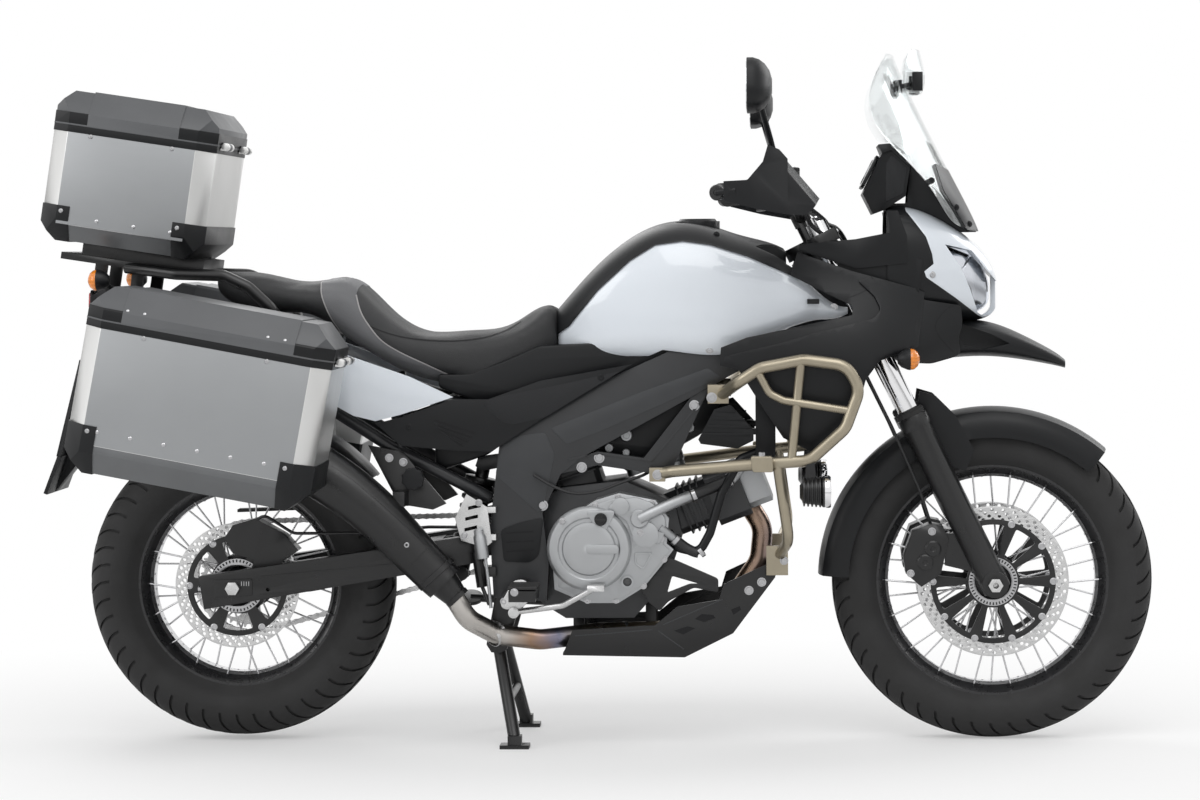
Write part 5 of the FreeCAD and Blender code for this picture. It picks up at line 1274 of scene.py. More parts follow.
def seat_pieces():
    """The cushion with its grey stripe, piping and sewn edge."""
    seat = seat_cushion()
    shapes = (("seat_stripe", [SEAT_STRIPE], 0.9, "stripe"),
              ("seat_piping", [band(flowing(SEAT_STRIPE[10:18]), 2.4), band(flowing(SEAT_STRIPE[:6]), 2.4)],
               1.7, "piping"),
              # The sewn edge's crease is a darker band: painted shade.
              ("seat_stitching", [band(flowing(SEAT_EDGE), 2.2)], 0.5, "dark"))
    for name, outlines, lift, finish in shapes:
        deliver(raised(twin(seat), region_of(*outlines), lift), name, finish)
    modify(seat, "SUBSURF", levels=1, render_levels=1)
    deliver(seat, "seat_cushion", "leather", smooth=60.0)
    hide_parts("seat")


def cowl_details():
    """Panel gaps and screws, and the side panels' inset, vents and ribs."""
    # The panel gaps are dark strips: painted shade.
    seam("cowl_gaps", "side_cowls", [[(652, 925), (622, 900), (612, 868), (622, 845), (648, 812)],
                                     [(445, 905), (520, 916), (566, 938), (566, 962), (540, 982)]])
    bolted("cowl_screws", ("beak", "side_cowls"), [(722, 796)], 3.6, 1.6, finish="bright")
    bolted("nose_bolts", ("nose_cowl", "side_cowls"), [(691, 960)], 5.2, 2.4)
    bolted("tank_bolts", ("fuel_tank", "side_cowls"), [(492, 896), (240, 812)], 6.0, 2.6)
    bolted("tank_cover_bolts", ("tank_cover", "fuel_tank", "side_cowls"), [(255, 1045)], 5.0, 2.0,
           finish="plastic")
    inset = [(-223, 706), (-209, 716), (-49, 747), (120, 784), (132, 778), (110, 754), (-50, 688),
             (-158, 664), (-181, 667), (-212, 694)]
    relief("panel_inset", "side_panels", [rounded(inset, 8.0)], 0.8, "textured", 0.3)
    slats = []
    for i in range(4):
        start, end = (-322 + i * 7, 673 - i * 9), (-238 - i * 9, 646 - i * 9)
        slats.append(band([start, end], 4.2))
    # The vents' openings are dark strips: painted shade.
    relief("panel_vents", "side_panels", slats, 0.5, "dark")
    ribs = [band([start, end], 2.2) for start, end in
            (((-324, 667), (-242, 639)), ((-317, 658), (-251, 630)), ((-310, 649), (-260, 621)))]
    relief("panel_louvres", "side_panels", ribs, 1.6, "plastic", 0.3)
    bolted("panel_bolts", ("side_panels",), [(19, 758), (-375, 660)], 6.0, 2.0, finish="plastic")


LAMP_EYE = [(718, 1020), (770, 999), (748, 962)]
LAMP_BOWL = [(752, 968), (775, 996), (796, 975), (806, 930), (806, 880), (800, 874), (785, 880), (772, 930)]
LAMP_SHROUD = [(800, 974), (822, 917), (820, 868), (808, 872), (812, 905), (806, 940)]


def lamp_pieces():
    """Bowls, corner lamps and the ribbed shroud behind the clear lens, and dark lines round them, the shade
    at their joins painted on.
    """
    for name, outline, lift, finish in (("lamp_bowls", LAMP_BOWL, -2.6, "bowl"),
                                        ("corner_lamps", LAMP_EYE, -2.6, "bowl"),
                                        ("lamp_shrouds", LAMP_SHROUD, -2.2, "ribbed")):
        relief(name, "headlamp", [outline], lift, finish)
    # Dark lines where the bowls and shroud meet: painted shade at the joins.
    rims = [band([(722, 1016), (766, 998)], 3.0), band([(746, 966), (722, 1008)], 3.0),
            band([(752, 958), (770, 928), (784, 886)], 3.0)]
    relief("lamp_rims", "headlamp", rims, 0.3, "dark")


def indicator(x, y, z, ahead, root):
    """A stalk, a black shell and an orange lens that faces ahead or back."""
    side = math.copysign(1.0, y)
    stalk = pipe([root, ((root[0] + x) / 2, (root[1] + y) / 2 - side * 3, (root[2] + z) / 2), (x, y, z)], 8.0)
    shell = turned([(0.0, -27.0), (9.0, -25.0), (16.0, -18.0), (21.0, -6.0), (22.0, 0.0), (0.0, 0.0)],
                   (x, y, z), (ahead, 0.0, 0.0), 28)
    lens = turned([(0.0, -1.0), (20.5, -1.0), (21.4, 2.0), (20.4, 7.0), (15.0, 14.0), (7.0, 18.0),
                   (0.0, 19.0)], (x, y, z), (ahead, 0.0, 0.0), 28)
    return joined([stalk, shell]), lens


def indicators():
    shells, lenses = [], []
    for side in BOTH:
        for x, y, z, ahead, root in ((642.0, 238.0, 793.0, 1.0, (626.0, 142.0, 817.0)),
                                     (-1004.0, 190.0, 965.0, -1.0, (-975.0, 84.0, 930.0))):
            shell, lens = indicator(x, y * side, z, ahead, (root[0], root[1] * side, root[2]))
            shells.append(shell)
            lenses.append(lens)
    black = deliver(joined(shells), "indicator_shells", "plastic")
    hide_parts("turn_signals")
    deliver(joined(lenses), "indicator_lenses", "orange")


def screen_trim():
    """The dark base plate of the screen and its screws."""
    base = [(805, 1030), (770, 1108), (735, 1172), (700, 1185), (716, 1130), (745, 1085), (778, 1030)]
    relief("screen_base", "windscreen", [base], 0.7, "plastic")
    bolted("screen_screws", ("windscreen",), [(690, 1150), (742, 1096), (770, 1062)], 5.0, 3.0,
           finish="plastic")


def instrument_panel():
    """A bezel, a dark face and a dial with its marks and needle, facing the rider."""
    across, up = (0.0, -1.0, 0.0), (0.456, 0.0, 0.89)
    spot = (571.0, 0.0, 1168.0)
    bezel = plate([rounded([(-76, -36), (76, -36), (68, 38), (-68, 38)], 16.0)], 0.0, 7.0, TOP_VIEW, 1.6)
    deliver(laid(bezel, spot, across, up), "instrument_bezel", "plastic")
    face = plate([rounded([(-70, -31), (70, -31), (62, 32), (-62, 32)], 13.0)], 6.6, 7.6, TOP_VIEW, 0.3)
    deliver(laid(face, spot, across, up), "instrument_face", "dial")
    ring = turned([(26.0, 7.2), (26.0, 9.0), (28.6, 9.0), (28.6, 7.2)], steps=40)
    ring.location = DIAL_CENTRE
    tick = [(-0.6, 20.0), (0.6, 20.0), (0.6, 24.5), (-0.6, 24.5)]
    marks = [plate([tick], 7.4, 8.2, TOP_VIEW, 0.1) for i in range(11)]
    for i, mark in enumerate(marks):
        mark.rotation_euler = (0.0, 0.0, math.radians(120.0 - 24.0 * i))
        mark.location = DIAL_CENTRE
        settle(mark)
    needle = plate([[(-1.2, -5.0), (1.2, -5.0), (0.4, 19.0), (-0.4, 19.0)]], 8.4, 9.2, TOP_VIEW, 0.1)
    needle.rotation_euler = (0.0, 0.0, math.radians(95.0))
    needle.location = DIAL_CENTRE
    dial = joined(marks + [settle(needle), settle(ring)])
    deliver(laid(dial, spot, across, up), "instrument_dial", "bright")


class MOTORCYCLE_OT_bodywork(bpy.types.Operator):
    """Make the seat, panel gaps, vents, lamps, indicators, screen trim and instruments"""
    bl_idname = "motorcycle.bodywork"
    bl_label = "Bodywork"

    def execute(self, context):
        seat_pieces()
        cowl_details()
        lamp_pieces()
        indicators()
        screen_trim()
        instrument_panel()
        return {"FINISHED"}


# Engine, frame and running gear

def ring_round(place, direction, radius, wide=9.0, thick=2.2):
    """A clamp band round a pipe or hose."""
    profile = [(radius, -wide / 2), (radius + thick, -wide / 2 + 0.6), (radius + thick, wide / 2 - 0.6),
               (radius, wide / 2)]
    return turned(profile, place, direction, 28)


COVER_BOLTS = [(6, 499), (52, 515), (121, 502), (97, 444), (139, 431), (144, 388), (102, 334), (46, 305),
               (-12, 305), (-60, 468)]
PUMP_COVER = [(31, 493), (48, 511), (90, 515), (124, 503), (149, 472), (146, 440), (138, 420), (99, 423),
              (80, 436), (71, 467), (42, 485)]
COVER_PANEL = [(84, 402), (122, 402), (103, 366), (86, 378)]


def engine_details():
    """The covers' blank oval, caps and bolts, the coolant hoses, and the exhaust's flange and joints."""
    inner_panel = [(x * 0.8 + 20, z * 0.8 + 78) for x, z in COVER_PANEL]
    cast = [plate([rounded([(-12, 402), (54, 402), (54, 420), (-12, 420)], 9.0)], -196.2, -193.0),
            plate([rounded(PUMP_COVER, 8.0)], -179.0, -170.0, edge=1.6),
            plate([rounded([(-14, 490), (50, 490), (20, 432)], 12.0)], -191.0, -178.0, edge=1.4),
            plate([rounded(COVER_PANEL, 5.0), rounded(inner_panel, 4.0)], -175.0, -171.0),
            turned([(9.0, 0.0), (9.0, 6.0), (12.5, 6.0), (12.5, 0.0)], (70, -171, 343), (0, -1, 0), 24),
            turned([(0, 0), (19, 0), (19, 12), (16, 15), (0, 15)], (96, -177, 472), (0, -1, 0), 28),
            pipe([(96, -188, 472), (112, -188, 480), (146, -176, 495), (176, -162, 507), (198, -151, 515)],
                 11.5, 4),
            pipe([(136, -176, 454), (150, -170, 444), (164, -160, 430)], 9.0, 4)]
    deliver(joined(cast), "engine_cast_details", "cast")
    cap = turned([(0, -1), (13, -1), (13, 7), (11.5, 9), (9, 9), (8, 12), (0, 12)], (18, -190, 472),
                 (0, -1, 0), 18)
    grip = plate([rounded([(8, 469.5), (28, 469.5), (28, 474.5), (8, 474.5)], 2.0)], -207.0, -200.0)
    deliver(joined([cap, grip]), "oil_filler_cap", "black_paint")
    glass = turned([(9.0, 3.0), (6.0, 4.4), (0.0, 5.0)], (70, -171, 343), (0, -1, 0), 20)
    deliver(glass, "oil_sight_glass", "dial")
    bolted("engine_cover_bolts", ("engine_covers",), COVER_BOLTS, 5.4, 6.0)
    sleeves = [pipe([(200, -151, 515), (232, -149, 528), (262, -147, 540), (284, -145, 549)], 12.0, 4),
               pipe([(166, -159, 429), (182, -156, 414), (203, -157, 402), (214, -158, 400)], 10.6, 4)]
    deliver(joined(sleeves), "coolant_hoses", "hose")
    bands = [ring_round((206, -151, 517.5), (32, 2, 13), 12.0),
             ring_round((278, -145.4, 546.5), (32, 2, 13), 12.0),
             ring_round((168, -158.6, 427), (16, 3, -15), 10.6),
             ring_round((220, -158, 402), (22, 0, 16), 9.2)]
    deliver(joined(bands), "hose_clamps", "bright")
    flange = turned([(21.5, -4), (33, -4), (34, -2), (34, 3), (32, 5), (21.5, 5)], (315, -20, 488),
                    (35, 0, -55), 36)
    nuts = scattered(hex_nut(6.0, 7.0), [((319, -20 + side * 27, 491), (-35, 0, 55)) for side in BOTH])
    deliver(joined([flange, nuts]), "header_flange", "bright")
    links = [ring_round((-205, -124, 232), (54, 54, 38), 22.0, 26.0, 1.6),
             ring_round((60, -59, 226), (113, 42, 8), 21.0, 8.0)]
    deliver(joined(links), "pipe_joints", "steel")


def frame_details():
    """Raised spar faces with a painted highlight, the pivot cover with its grooves in painted shade, and
    every frame bolt.
    """
    spar = [(-86, 654), (-52, 622), (16, 648), (150, 706), (262, 757), (236, 775), (100, 727)]
    lower = [(-200, 560), (-112, 482), (-104, 488), (-78, 600), (-96, 646), (-150, 640), (-182, 628)]
    # The spar faces take a lighter copy of the frame paint: painted highlight.
    relief("spar_faces", "frame", [rounded(spar, 6.0), rounded(lower, 9.0)], 1.3, "spar", 0.5)
    cover = [(-190, 448), (-148, 463), (-102, 472), (-112, 394), (-130, 380), (-184, 382)]
    relief("pivot_covers", "frame", [rounded(cover, 9.0)], 5.0, "plastic", 1.6)
    grooves = [band([(-178, z), (-122, z + 3)], 3.0) for z in (403.0, 422.0, 441.0)]
    # The grooves are dark strips: painted shade.
    relief("pivot_cover_grooves", "frame", grooves, 5.5, "dark")
    rail = [band([(230, 716), (120, 586), (8, 602), (-50, 590)], 5.0)]
    relief("hanger_ribs", "frame", rail, 1.6, "frame", 0.5)
    bolted("frame_bolts", ("frame", "crash_bars"), [(208, 699), (244, 716), (13, 593), (-23, 574), (133, 560),
                                                    (-103, 497)], 8.0, 6.0)
    bolted("subframe_bolts", ("subframe", "frame", "footpegs", "pedals", "side_panels"),
           [(-390, 586), (-419, 595)], 6.5, 6.0)
    bolted("guard_bolts", ("pedals", "footpegs", "frame"), [(-232, 505), (-262, 438), (-222, 426)], 5.5, 4.0)
    bolted("peg_bolts", ("footpegs", "frame"), [(-180, 306), (-150, 336)], 6.0, 5.0)


def skid_details():
    """Windows darkened as painted shade, folds lightened as painted highlight, and bolts of the skid plate.
    """
    windows = [[(162, 238), (190, 247), (206, 243), (181, 230)],
               [(205, 262), (219, 272), (243, 270), (247, 264), (224, 255)],
               [(279, 281), (297, 288), (300, 281), (284, 270)]]
    # The windows are dark patches: painted shade in the openings.
    relief("skid_windows", "skid_plate", windows, 0.5, "dark")
    folds = [band([(-40, 228), (118, 240)], 2.2), band([(130, 238), (182, 200)], 2.2),
             band([(140, 250), (262, 302)], 2.2)]
    # The folds are a lighter copy of the black paint: painted highlight along the bends.
    relief("skid_folds", "skid_plate", folds, 1.0, "spar", 0.4)
    bolted("skid_bolts", ("skid_plate",), [(316, 320), (342, 337)], 7.0, 4.0)


def exhaust_details():
    """The silencer's heat shield, rings and bolts."""
    shield = band(flowing([(-352, 398), (-400, 446), (-500, 535), (-600, 598), (-690, 648)]), 60.0)
    relief("muffler_shield", "muffler", [rounded(shield, 6.0, 2)], 2.4, "black_paint", 0.8)
    rings = [ring_round((-318, -190, 362), (-54, 0, 61), 43.0, 12.0, 3.0),
             ring_round((-852, -190, 738), (-60, 0, 33), 55.0, 12.0, 2.0),
             ring_round((-276, -190, 314), (-54, 0, 60), 24.0, 10.0, 2.4)]
    deliver(joined(rings), "muffler_rings", "black_paint")
    screws = [(-372, 426), (-560, 574), (-668, 638)]
    bolted("muffler_bolts", ("muffler",), screws, 5.5, 4.0, sides=(-1.0,))


def fog_lamp(side):
    """A finned black housing, a chrome ring, a bowl and a clear glass, facing ahead."""
    spot = (420.0, side * 246.0, 530.0)
    fins = [(0, 0), (13, 0), (18, 4)]
    for i in range(5):
        start = 6.0 + i * 8.0
        fins += [(23.5 + i, start), (29.5 + i * 0.5, start + 1.2), (29.5 + i * 0.5, start + 4.0),
                 (24 + i, start + 5.2)]
    shell = turned(fins + [(31.5, 46), (31.5, 50), (0, 50)], spot, (1, 0, 0), 32)
    rim = rounded([(430, 548), (454, 548), (450, 592), (434, 592)], 5.0)
    stem = plate([rim], side * 246.0 - 8.0, side * 246.0 + 8.0, edge=1.5)
    ring = turned([(28, 50), (31.8, 50), (32.6, 53), (32.6, 59), (31, 62), (28, 61)], spot, (1, 0, 0), 40)
    bowl = turned([(0, 51), (6, 51), (14, 52), (22, 55), (28, 60)], spot, (1, 0, 0), 32)
    glass = turned([(28.5, 59), (24, 61), (14, 62.4), (0, 63)], spot, (1, 0, 0), 32)
    return joined([shell, stem]), joined([ring, bowl]), glass


def fog_lamps():
    shells, rings, glasses = zip(*[fog_lamp(side) for side in BOTH])
    black = deliver(joined(list(shells)), "fog_lamp_housings", "black_paint")
    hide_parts("fog_lamps")
    deliver(joined(list(rings)), "fog_lamp_rings", "chrome")
    deliver(joined(list(glasses)), "fog_lamp_glasses", "lens")


def crash_bar_details():
    """Clamp plates where the bars cross, and the bars' end bolts."""
    sleeves = []
    for side in BOTH:
        y = side * 245.0
        rim = rounded([(322, 602), (366, 602), (368, 570), (326, 570)], 5.0)
        sleeves.append(plate([rim], y - 14.0, y + 14.0, edge=2.0))
    deliver(joined(sleeves), "crash_bar_clamps", "champagne")
    nuts = [((345, side * 245.0, 602.0), (0, 0, 1)) for side in BOTH]
    nuts += [((388, side * 145.0, 382.0), (0, side, 0)) for side in BOTH]
    deliver(scattered(hex_nut(7.0, 7.0), nuts), "crash_bar_nuts", "bright")


def radiator_details():
    """Cooling fins before and behind the core and slats on the side grilles."""
    cores = [plate([[(-126, 594), (126, 594), (126, 770), (-126, 770)]], x, x + 1.2, FRONT_VIEW, 0.2)
             for x in (366.0, 336.8)]
    deliver(joined(cores), "radiator_fins", "mesh")
    slats = [band([(226, 642), (322, 640)], 5.0), band([(236, 658), (322, 655)], 5.0),
             band([(244, 674), (310, 671)], 5.0), band([(252, 690), (292, 687)], 5.0)]
    relief("grille_slats", "radiator", slats, 3.0, "plastic", 0.8)


def swingarm_details():
    """Adjuster plates at the rear axle, the arm's recess lines and the chain adjusters' bolts."""
    face = [rounded([(-784, 308), (-704, 314), (-704, 348), (-784, 346)], 5.0)]
    relief("axle_plates", "swingarm", face, 2.4, "black_paint", 0.8)
    marks = [band([(x, 334), (x, 343)], 1.4) for x in (-726, -721, -716, -711)]
    relief("axle_marks", "swingarm", marks, 2.8, "bright")
    lines = [band([(-690, 352), (-300, 388)], 3.0), band([(-690, 316), (-300, 342)], 3.0)]
    relief("arm_ribs", "swingarm", lines, 1.2, "black_paint", 0.5)
    tips = [((-811, side * 118.0, 326.0), (-1, 0, 0)) for side in BOTH]
    deliver(scattered(hex_nut(6.5, 8.0), tips), "adjuster_bolts", "bright")


def front_end_details():
    """Caliper bolts and bosses, fork seals and caps and the clamps' pinch bolts, all on the steering."""
    bolted("caliper_bolts", ("front_calipers",), [(690, 436), (646, 350)], 6.0, 6.0, body="steering")
    boss = turned([(0, -1), (17, -1), (17, 3), (14, 5), (6, 5), (4, 3.6), (0, 3.6)], steps=28)
    bosses = seated(boss, ("front_calipers",), [(692, 400), (676, 372)])
    deliver(bosses, "caliper_bosses", "black_paint", "steering")
    axis = Vector((-math.sin(RAKE), 0.0, math.cos(RAKE)))
    seals = [turned([(21.8, 0), (27, 0), (30, -4), (30, -12), (21.8, -12)],
                    steer_point(395, 45, side * 105), axis, 32)
             for side in BOTH]
    deliver(joined(seals), "fork_seals", "rubber", "steering")
    caps = [turned([(0, 0), (15, 0), (15, 6), (12, 8), (7, 8), (7, 4), (0, 4)],
                   steer_point(809, 45, side * 105), axis, 24)
            for side in BOTH]
    deliver(joined(caps), "fork_caps", "bright", "steering")
    pinch = [(steer_point(height, 45 + 30, side * 100), axis.cross(Vector((0, side, 0)))) for side in BOTH
             for height in (572, 586, 786)]
    deliver(scattered(bolt_head(5.0, 6.0), pinch), "clamp_bolts", "bright", "steering")


class MOTORCYCLE_OT_machinery(bpy.types.Operator):
    """Detail the engine, frame, skid plate, exhaust, lamps, bars, radiator, swingarm and fork"""
    bl_idname = "motorcycle.machinery"
    bl_label = "Engine and running gear"

    def execute(self, context):
        engine_details()
        frame_details()
        skid_details()
        exhaust_details()
        fog_lamps()
        crash_bar_details()
        radiator_details()
        swingarm_details()
        front_end_details()
        return {"FINISHED"}


# Controls

BAR = (428.0, 1076.0)


def bar_line(side):
    """Two points of the handlebar's outer run on one side."""
    x, z = BAR
    return Vector((x - 28, side * 165, z + 66)), Vector((x - 160, side * 415, z + 50))


def grips():
    """Ribbed rubber grips with a flange at their inner end, and turned bar ends."""
    sleeves, ends = [], []
    for side in BOTH:
        inner, outer = bar_line(side)
        along = (outer - inner).normalized()
        profile = [(16.2, -130), (21, -130), (21, -126), (17.2, -125)]
        for i in range(22):
            start = -122.0 + i * 5.4
            profile += [(17.6, start), (17.6, start + 3.2), (16.6, start + 3.8), (16.6, start + 5.0)]
        sleeves.append(turned(profile + [(17.6, -3), (16.2, -2)], outer, along, 24))
        ends.append(turned([(14.2, 0), (15.5, 2), (15.5, 14), (13.5, 17), (5, 17), (4, 14), (0, 14)], outer,
                           along, 28))
    deliver(joined(sleeves), "grips", "rubber", "steering")
    deliver(joined(ends), "bar_ends", "black_paint", "steering")


def switches():
    """Rocker and buttons on the housings, the red stop switch and the reservoirs' lids and screws."""
    x, z = BAR
    lids, screws, rockers = [], [], []
    for side in BOTH:
        lids.append(turned([(0, 0), (22.6, 0), (22.6, 5), (20, 7), (0, 7)], (x - 26, side * 236, z + 94),
                           (0, 0, 1), 32))
        for dx in (-12, 12):
            screws.append(((x - 26 + dx, side * 236.0, z + 101), (0, 0, 1)))
        rim = rounded([(x - 78, side * 252 - 6), (x - 60, side * 252 - 6),
                       (x - 60, side * 252 + 6), (x - 78, side * 252 + 6)], 2.5)
        rockers.append(plate([rim], z + 60, z + 72, TOP_VIEW, 1.4))
    deliver(joined(lids), "reservoir_lids", "plastic", "steering")
    deliver(scattered(rivet(3.0, 1.6), screws), "reservoir_screws", "bright", "steering")
    deliver(rockers[0], "stop_switch", "red", "steering")
    deliver(rockers[1], "dip_switch", "textured", "steering")


MIRROR_FACE = [(-306, 1298), (-316, 1288), (-400, 1282), (-458, 1295), (-472, 1319), (-460, 1363),
               (-438, 1382), (-343, 1378), (-317, 1364), (-306, 1338)]


def mirror_glass():
    rim = plate([rounded(MIRROR_FACE, 14.0)], 320.6, 322.4, FRONT_VIEW, 0.5)
    deliver(both_sides(rim), "mirror_glass", "glass", "steering")


class MOTORCYCLE_OT_controls(bpy.types.Operator):
    """Make the grips, bar ends, switches, reservoir lids and mirror glass"""
    bl_idname = "motorcycle.controls"
    bl_label = "Controls"

    def execute(self, context):
        grips()
        switches()
        mirror_glass()
        return {"FINISHED"}


# Fillers and shells

def lofted(rings, closed=True):
    """A skin through lines of equal point counts; closed rings get end caps."""
    data = bpy.data.curves.new("rings", "CURVE")
    data.dimensions = "3D"
    for ring in rings:
        add_line(data, millimetres(ring), closed)
    piece = curve_piece(data)
    choose(piece)
    bpy.ops.object.mode_set(mode="EDIT")
    bpy.ops.mesh.select_mode(type="EDGE")
    bpy.ops.mesh.select_all(action="SELECT")
    bpy.ops.mesh.bridge_edge_loops()
    if closed:
        bpy.ops.mesh.select_all(action="SELECT")
        bpy.ops.mesh.fill_holes(sides=0)
    bpy.ops.object.mode_set(mode="OBJECT")
    return mend(piece)


CHEEK_SECTIONS = (
    (630.0, [(-166, 775), (-173, 800), (-165, 850), (-152, 890), (-138, 932)]),
    (668.0, [(-146, 772), (-161, 800), (-156, 850), (-143, 890), (-132, 920)]),
    (700.0, [(-126, 778), (-143, 804), (-142, 850), (-135, 885), (-128, 910)]),
    (728.0, [(-108, 784), (-122, 808), (-126, 850), (-124, 880), (-120, 902)]),
    (756.0, [(-92, 790), (-103, 812), (-108, 848), (-108, 874), (-106, 896)]),
)
CHEEK_OUTLINE = [(636, 926), (677, 909), (750, 897), (753, 860), (744, 828), (750, 800), (736, 792),
                 (688, 780), (632, 784)]
BEAK_SEAM = [(742, 900), (720, 890), (702, 870), (697, 851), (710, 828), (734, 803)]


def cheeks():
    """The fairing's cheeks, which carry the side cowls' line on to the beak, with the beak's seam."""
    sheet = lofted([[(x, y, z) for y, z in line] for x, line in CHEEK_SECTIONS], closed=False)
    modify(sheet, "SUBSURF", levels=2, render_levels=2)
    modify(sheet, "SOLIDIFY", thickness=0.004, offset=0.0)
    trimmed(sheet, region_of(rounded(CHEEK_OUTLINE, 8.0)))
    # The beak's seam is a dark strip: the gap's shade painted on.
    groove = raised(twin(sheet), region_of(band(flowing(BEAK_SEAM), 1.8)), 0.3)
    deliver(both_sides(softened(sheet, 1.0)), "fairing_cheeks", "plastic", smooth=40.0)
    deliver(both_sides(groove), "beak_seams", "dark")


COWL_RELIEF = [(268, 787), (304, 778), (356, 694), (391, 640), (452, 609), (481, 620), (532, 691), (550, 755),
               (580, 793), (655, 819), (668, 922), (652, 930), (560, 955), (540, 950), (574, 918), (586, 892),
               (572, 874), (522, 862), (450, 846), (383, 826), (320, 812), (272, 800)]


def cowl_relief():
    """The raised outer face of each side cowl round the soft recess at the tank's tip."""
    skin = patch("side_cowls", region_of(rounded(COWL_RELIEF, 7.0)), 3.6)
    deliver(softened(skin, 2.4, 50.0), "cowl_reliefs", "plastic", smooth=50.0)
    inner = [(500, 944), (664, 925), (672, 990), (640, 1000), (500, 996)]
    walls = plate([inner], -144.0, -141.0)
    deliver(both_sides(walls), "cowl_backing", "plastic")
    trim = [(338, 1034), (338, 1004), (380, 991), (425, 966), (452, 956), (452, 1040)]
    relief("tank_tip_trim", "fuel_tank", [trim], 0.7, "plastic")
    facets = [[(600, 1108), (636, 1126), (643, 1176), (612, 1204), (601, 1186)]]
    relief("cockpit_facets", "cockpit", facets, 2.0, "textured", 1.2)


def inner_machinery():
    """The dark airbox, throttle bodies and battery box behind the frame, and the engine's lower bracket."""
    airbox = plate([rounded([(-70, 640), (60, 695), (235, 770), (262, 700), (225, 640), (140, 592),
                             (60, 587), (-24, 612)], 14.0)], -92.0, 92.0, edge=9.0)
    underfloor = plate([rounded([(-92, 706), (140, 795), (330, 806), (330, 836), (60, 830), (-110, 822),
                                 (-170, 796), (-250, 766), (-316, 766), (-316, 738), (-228, 706)], 8.0)],
                       -126.0, 126.0, edge=5.0)
    battery = plate([rounded([(-330, 560), (-212, 600), (-212, 700), (-330, 690)], 12.0)], -80.0, 80.0,
                    edge=8.0)
    deliver(joined([airbox, underfloor, battery]), "airbox", "plastic")
    fittings = []
    for x, z, r in ((67, 636, 12.0), (31, 611, 9.0), (66, 601, 8.0), (196, 652, 11.0)):
        fittings.append(turned([(0, 0), (r, 0), (r, 6), (r - 1.5, 8), (r * 0.55, 8), (r * 0.5, 6), (0, 6)],
                               (x, -92, z), (0, -1, 0), 24))
    bodies = [turned([(24, 0), (24, 30), (21, 34), (21, 48), (0, 48)], (x, 0, z), (0.35, 0, -1), 28)
              for x, z in ((150, 606), (70, 596))]
    deliver(joined(fittings + bodies), "throttle_fittings", "cast")
    guard = rounded([(136, 398), (168, 384), (254, 346), (254, 318), (204, 328), (152, 300), (134, 280),
                     (112, 298), (94, 330), (110, 348), (132, 372)], 6.0)
    window = rounded([(160, 352), (214, 336), (196, 336), (150, 318)], 4.0)
    deliver(softened(plate([guard, window], -150.0, -141.0), 0.6), "engine_bracket", "black_paint")
    cable = [(-120, -150, 560), (-60, -158, 520), (10, -160, 524), (60, -150, 545), (120, -120, 560),
             (160, -90, 600)]
    deliver(pipe(cable, 3.2), "wiring_loom", "hose")


def mirror_shells():
    """Rounded mirror housings on bent stems, with their collars on the bar."""
    centre = Vector((-387, 1331))
    outline = rounded([(-303, 1297), (-314, 1284), (-400, 1278), (-461, 1292), (-476, 1319), (-464, 1366),
                       (-440, 1386), (-341, 1382), (-314, 1367), (-303, 1340)], 12.0, 2)
    rings = []
    for x, scale in ((321.5, 0.95), (322.5, 1.0), (334, 1.0), (346, 0.93), (357, 0.78), (366, 0.55),
                     (371, 0.25)):
        ring = [centre + (Vector(point) - centre) * scale for point in outline]
        rings.append([(x, p.x, p.y) for p in ring])
    shell = lofted(rings)
    stem = pipe([(382, -212, 1140), (380, -216, 1176), (368, -262, 1228), (356, -330, 1268),
                 (348, -372, 1300), (347, -386, 1322)], 6.0)
    collar = turned([(0, 0), (12, 0), (12, 14), (10, 18), (10, 24), (7, 27), (0, 27)], (382, -212, 1140),
                    (0, 0, 1), 24)
    socket = turned([(0, -14), (12, -14), (14, -8), (14, 8), (0, 12)], (350, -380, 1306), (0.1, -0.3, 1), 24)
    both = joined([shell, stem, collar, socket])
    mirrors = deliver(both_sides(both), "mirror_shells", "plastic", "steering", 50.0)
    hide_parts("mirrors")


class MOTORCYCLE_OT_shells(bpy.types.Operator):
    """Make the fairing cheeks, cowl reliefs, inner machinery and mirror housings"""
    bl_idname = "motorcycle.shells"
    bl_label = "Shells and inner parts"

    def execute(self, context):
        cheeks()
        cowl_relief()
        inner_machinery()
        mirror_shells()
        return {"FINISHED"}


# Small fittings

def upper_hoses():
    """The front brake's hoses from the lever to the lower clamp, with their unions, and the clutch cable."""
    lever = (410, -230, 1122)
    right = [steer_point(*spot) for spot in ((846, 36, -176), (812, 34, -134), (745, 84, -96), (660, 80, -80),
                                             (600, 62, -70))]
    left = [steer_point(*spot) for spot in ((848, 50, -160), (815, 66, -104), (808, 66, 0), (788, 88, 66),
                                            (720, 86, 84), (600, 62, 70))]
    cable = [(410, 230, 1122)] + [steer_point(*spot) for spot in ((838, 50, 156), (792, 84, 104),
                                                                  (700, 82, 92), (600, 62, 80))]
    lines = [pipe([lever] + right, 4.6), pipe([lever] + left, 4.6), pipe(cable, 3.6)]
    deliver(joined(lines), "upper_hoses", "hose", "steering")
    unions = [turned([(0, -4), (7, -4), (7.6, -2), (7.6, 7), (5.6, 9), (5.6, 20), (0, 20)],
                     (410, side * 230, 1120), (0.3, -side * 0.2, 1), 6) for side in BOTH]
    deliver(joined(unions), "hose_unions", "bright", "steering")


